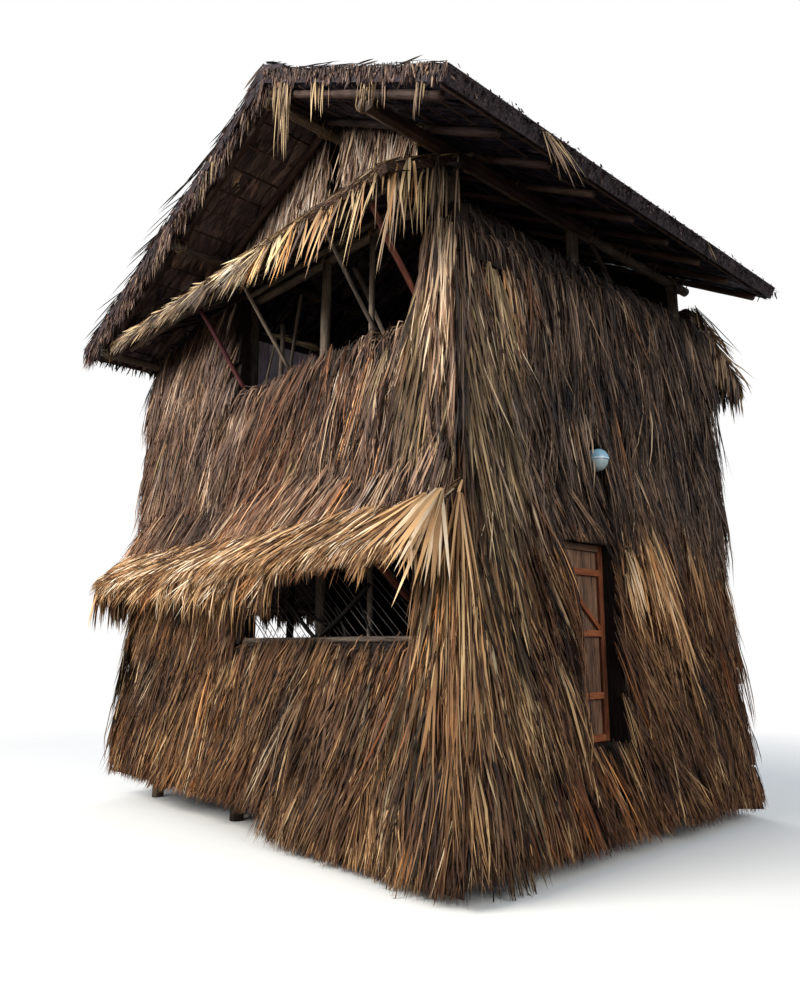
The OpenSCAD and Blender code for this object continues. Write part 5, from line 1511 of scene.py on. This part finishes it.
def panelAndBeam():
    # a partition of upright greyish-pink boards with a stud and a dark rail, and the sawn beam under the eave
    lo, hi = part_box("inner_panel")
    x, step, rail, thick = (lo.x + hi.x) / 2, 0.158, hi.x - lo.x, 0.018
    places = [lo.y + (k + 0.5) * step for k in range(int((hi.y - rail - lo.y) / step))]
    items = [((x, y, lo.z), (x, y, hi.z - rail - 0.004), alongY, step - 0.006, thick, 0.002) for y in places]
    barPiece("inner_boards", items, boardLook["pink"], "house", "board", "inner_panel")
    y, z = hi.y - rail / 2, hi.z - rail / 2
    railBars = [((x, lo.y, z), (x, hi.y, z), up, rail, rail, 0.006),
                ((x, y, lo.z), (x, y, hi.z - rail), alongY, rail, rail, 0.006)]
    barPiece("inner_rail", railBars, poleLook["dark"], "house", "dark_pole")
    # pale straw that lies over the rail
    count = 240
    root = xyz(x + spread(count, -0.05, 0.05), spread(count, lo.y + 0.05, hi.y - 0.35),
               hi.z + spread(count, 0.0, 0.05))
    aim = xyz(dice.normal(0, 0.12, count), 1, dice.normal(0.02, 0.06, count))
    straw = batch(root, aim, spread(count, 0.15, 0.35), spread(count, 0.01, 0.02), (1, 0, 0),
                  dice.normal(0.8, 0.12, count), hue=dice.normal(0.35, 0.12, count))
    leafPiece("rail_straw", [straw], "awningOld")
    tubePiece("inner_sticks", *columns(innerSticks), "grey", "weathered_pole", 12, 10, bend=0.5)
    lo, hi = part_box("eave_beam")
    x, z = (lo.x + hi.x) / 2, (lo.z + hi.z) / 2
    beam = [((x, lo.y, z), (x, hi.y, z), up, hi.z - lo.z, hi.x - lo.x, 0.005)]
    barPiece("sawn_eave_beam", beam, boardLook["beam"], "house", "red_timber", "eave_beam")


panelAndBeam()


# The lower window. Each set of canes: spacing, slope in degrees, where the first and last cane's head stands
# (None for the window's own side), distance in front of the sill pole, and radius. Sticks in front of them:
# both ends as x, depth behind the front stick and z, then the radius
window = {
    "canes": ((0.115, 40.5, -1.3, None, 0.0, 0.0042), (0.2, -58, 0.0, 0.75, 0.012, 0.0036)),
    "front": -2.075,
    "sticks": (((0.86, 0.0, 1.86), (1.64, 0.0, 2.34), 0.021), ((0.34, 0.03, 2.26), (0.83, 0.03, 1.87), 0.021),
               ((0.42, 0.05, 2.2), (1.02, 0.05, 2.0), 0.017), ((1.1, 0.05, 2.16), (1.28, 0.05, 1.87), 0.014),
               ((1.42, 0.05, 2.28), (1.62, 0.05, 1.87), 0.012)),
}


def latticePiece():
    # thin canes slant one way across the window, a second set in its left part, dark sticks and a sill pole
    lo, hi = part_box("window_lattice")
    sill = [axisOf(points) for points in islandsOf("window_lattice") if len(points) == 84][0]
    z0, z1 = sill[0][2] + 0.02, hi.z
    canes = []
    for pitch, slope, first, last, depth, radius in window["canes"]:
        heads = np.arange(lo.x + first, hi.x if last is None else last, pitch)
        count = len(heads)
        heads = heads + dice.normal(0, 0.014, count)
        feet = heads + (z1 - z0) / np.tan(np.radians(slope)) + dice.normal(0, 0.03, count)
        a, c = xyz(heads, hi.y - 0.008 + depth, z1), xyz(feet, hi.y - 0.008 + depth, z0)
        # each cane is cut off at both sides of the window
        cuts = [np.clip((side - a[:, 0]) / (c[:, 0] - a[:, 0]), 0, 1) for side in (lo.x, hi.x)]
        start, end = (a + scaled(c - a, part) for part in (np.minimum(*cuts), np.maximum(*cuts)))
        canes += [(p, q, radius) for p, q in zip(start, end) if np.linalg.norm(q - p) > 0.15]
    piece = tubePiece("window_canes", *columns(canes), "cane", "weathered_pole", 9, 6, bend=0.8, taper=0.2,
                      knots=0.15)
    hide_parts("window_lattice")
    p0, p1, radius = columns(window["sticks"])
    shift = np.array([0, window["front"], 0])
    tubePiece("window_sticks", p0 + shift, p1 + shift, radius, "black", "dark_pole", 10, 8, bend=0.8)
    tubePiece("window_sill_pole", *columns([sill]), "grey", "weathered_pole", 20, 14, bend=0.3)


latticePiece()


def lampLook():
    # milky blue dome, a hood over it and a pale seam between them, told apart by height
    material, tree, shader = newMaterial("lamp_glass", specular=0.5)
    parts = tree.nodes.new("ShaderNodeSeparateXYZ")
    tree.links.new(tree.nodes.new("ShaderNodeTexCoord").outputs["Object"], parts.inputs[0])
    height = parts.outputs[2]
    lampZ = (lampBox[0].z + lampBox[1].z) / 2
    upper = mathNode(tree, "MULTIPLY", mathNode(tree, "SUBTRACT", height, lampZ + 0.004), 400.0, clamp=True)
    dirt = useGroup(tree, weatherGroup, Scale=9.0, Low=0.35, High=0.75).outputs[0]
    glass = mixColor(tree, dirt, tint((164, 182, 186)), tint((130, 148, 154)))
    hood = mixColor(tree, dirt, tint((136, 174, 194)), tint((112, 150, 172)))
    away = mathNode(tree, "ABSOLUTE", mathNode(tree, "SUBTRACT", height, lampZ + 0.006))
    seam = mathNode(tree, "MULTIPLY", mathNode(tree, "SUBTRACT", 0.006, away), 500.0, clamp=True)
    shown = mixColor(tree, seam, mixColor(tree, upper, glass, hood), tint((196, 216, 226)))
    tree.links.new(shown, shader.inputs["Base Color"])
    shader.inputs["Roughness"].default_value = 0.32
    return material


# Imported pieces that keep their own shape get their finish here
nodeLooks = {
    "wall": ["front_skirt", "front_lower_sides", "front_parapet", "front_upper_sides", "front_gable",
             "right_wall_skirt", "right_wall_near", "right_wall_far", "right_wall_over_door",
             "left_wall_skirt", "left_wall_lower_sides", "left_wall_upper",
             "back_wall_lower", "back_wall_upper_sides", "back_gable"],
    "awning": ["upper_awning_thatch", "lower_awning_thatch", "left_awning_thatch", "back_awning_thatch"],
    "roof": ["right_roof_thatch", "left_roof_thatch", "ridge_cap"],
}


def dress(node, material):
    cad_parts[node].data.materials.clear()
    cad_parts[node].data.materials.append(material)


for look, nodes in nodeLooks.items():
    for node in nodes:
        dress(node, backLook[look])
for node in ("ground_floor", "upper_floor"):
    dress(node, boardLook["floor"])
for node in ("door_pins", "door_straps"):
    dress(node, boardLook["iron"])
dress("wall_lamp", lampLook())


# Floor, light and camera. The floor fades out with distance from the middle, and the camera sees another
# colour of it than the one that light bounces off
pale = {"half": 60, "bounced": (120, 112, 104), "seen": (230, 230, 228), "fadeFrom": 5.5, "fadeOver": 6.0}
sky = {"light": (0.7, 0.83, 1.0, 1), "strength": 0.6, "backdrop": (1, 1, 1, 1)}
lights = {"color": (1.0, 0.955, 0.88), "target": (0, 0, 3)}
photo = {"place": (7.04, -6.62, 1.80), "heading": (-0.74, 0.673), "pitch": 10.4, "focal": 28.8, "sensor": 36}


def setFloor():
    mesh = bpy.data.meshes.new("ground_plane")
    far = pale["half"]
    mesh.from_pydata([(-far, -far, 0), (far, -far, 0), (far, far, 0), (-far, far, 0)], [], [(0, 1, 2, 3)])
    ground = bpy.data.objects.new("ground_plane", mesh)
    scene.collection.objects.link(ground)
    material, tree, shader = newMaterial("pale_ground")
    path = tree.nodes.new("ShaderNodeLightPath")
    shown = mixColor(tree, path.outputs["Is Camera Ray"], tint(pale["bounced"]), tint(pale["seen"]))
    tree.links.new(shown, shader.inputs["Base Color"])
    coords = tree.nodes.new("ShaderNodeTexCoord").outputs["Object"]
    length = tree.nodes.new("ShaderNodeVectorMath")
    length.operation = "LENGTH"
    tree.links.new(coords, length.inputs[0])
    past = mathNode(tree, "SUBTRACT", length.outputs["Value"], pale["fadeFrom"])
    away = mathNode(tree, "DIVIDE", past, pale["fadeOver"], clamp=True)
    far = mathNode(tree, "MULTIPLY", away, path.outputs["Is Camera Ray"])
    clear = tree.nodes.new("ShaderNodeBsdfTransparent")
    fade = tree.nodes.new("ShaderNodeMixShader")
    tree.links.new(far, fade.inputs[0])
    tree.links.new(shader.outputs[0], fade.inputs[1])
    tree.links.new(clear.outputs[0], fade.inputs[2])
    tree.links.new(fade.outputs[0], tree.nodes["Material Output"].inputs[0])
    shader.inputs["Roughness"].default_value = 0.9
    mesh.materials.append(material)


def setSky():
    world = bpy.data.worlds.new("soft_world")
    scene.world = world
    world.use_nodes = True
    tree = world.node_tree
    tree.nodes.clear()
    output = tree.nodes.new("ShaderNodeOutputWorld")
    light = tree.nodes.new("ShaderNodeBackground")
    light.inputs[0].default_value = sky["light"]
    light.inputs[1].default_value = sky["strength"]
    backdrop = tree.nodes.new("ShaderNodeBackground")
    backdrop.inputs[0].default_value = sky["backdrop"]
    backdrop.inputs[1].default_value = 1.0
    path = tree.nodes.new("ShaderNodeLightPath")
    mix = tree.nodes.new("ShaderNodeMixShader")
    tree.links.new(path.outputs["Is Camera Ray"], mix.inputs[0])
    tree.links.new(light.outputs[0], mix.inputs[1])
    tree.links.new(backdrop.outputs[0], mix.inputs[2])
    tree.links.new(mix.outputs[0], output.inputs[0])


def addArea(name, place, size, power):
    light = bpy.data.lights.new(name, "AREA")
    light.size = size
    light.energy = power
    light.color = lights["color"]
    lamp = bpy.data.objects.new(name, light)
    lamp.location = place
    aim = np.array(lights["target"], float) - np.array(place, float)
    yaw = np.arctan2(aim[1], aim[0])
    tilt = np.arccos(-aim[2] / np.linalg.norm(aim))
    lamp.rotation_euler = (tilt, 0, yaw - np.pi / 2)
    scene.collection.objects.link(lamp)


def setCamera():
    camera = bpy.data.cameras.new("photo_camera")
    camera.lens = photo["focal"]
    camera.sensor_width = photo["sensor"]
    holder = bpy.data.objects.new("photo_camera", camera)
    holder.location = photo["place"]
    yaw = np.arctan2(photo["heading"][1], photo["heading"][0])
    holder.rotation_euler = (np.radians(90 + photo["pitch"]), 0, yaw - np.pi / 2)
    scene.collection.objects.link(holder)
    scene.camera = holder


setFloor()
setSky()
addArea("key_light", (-1.0, -15.0, 9.5), 8.0, 4200)
addArea("side_light", (16.0, -2.0, 9.0), 9.0, 1500)
addArea("rear_light", (-12.0, 10.0, 9.0), 10.0, 1000)
setCamera()
print("stage set")
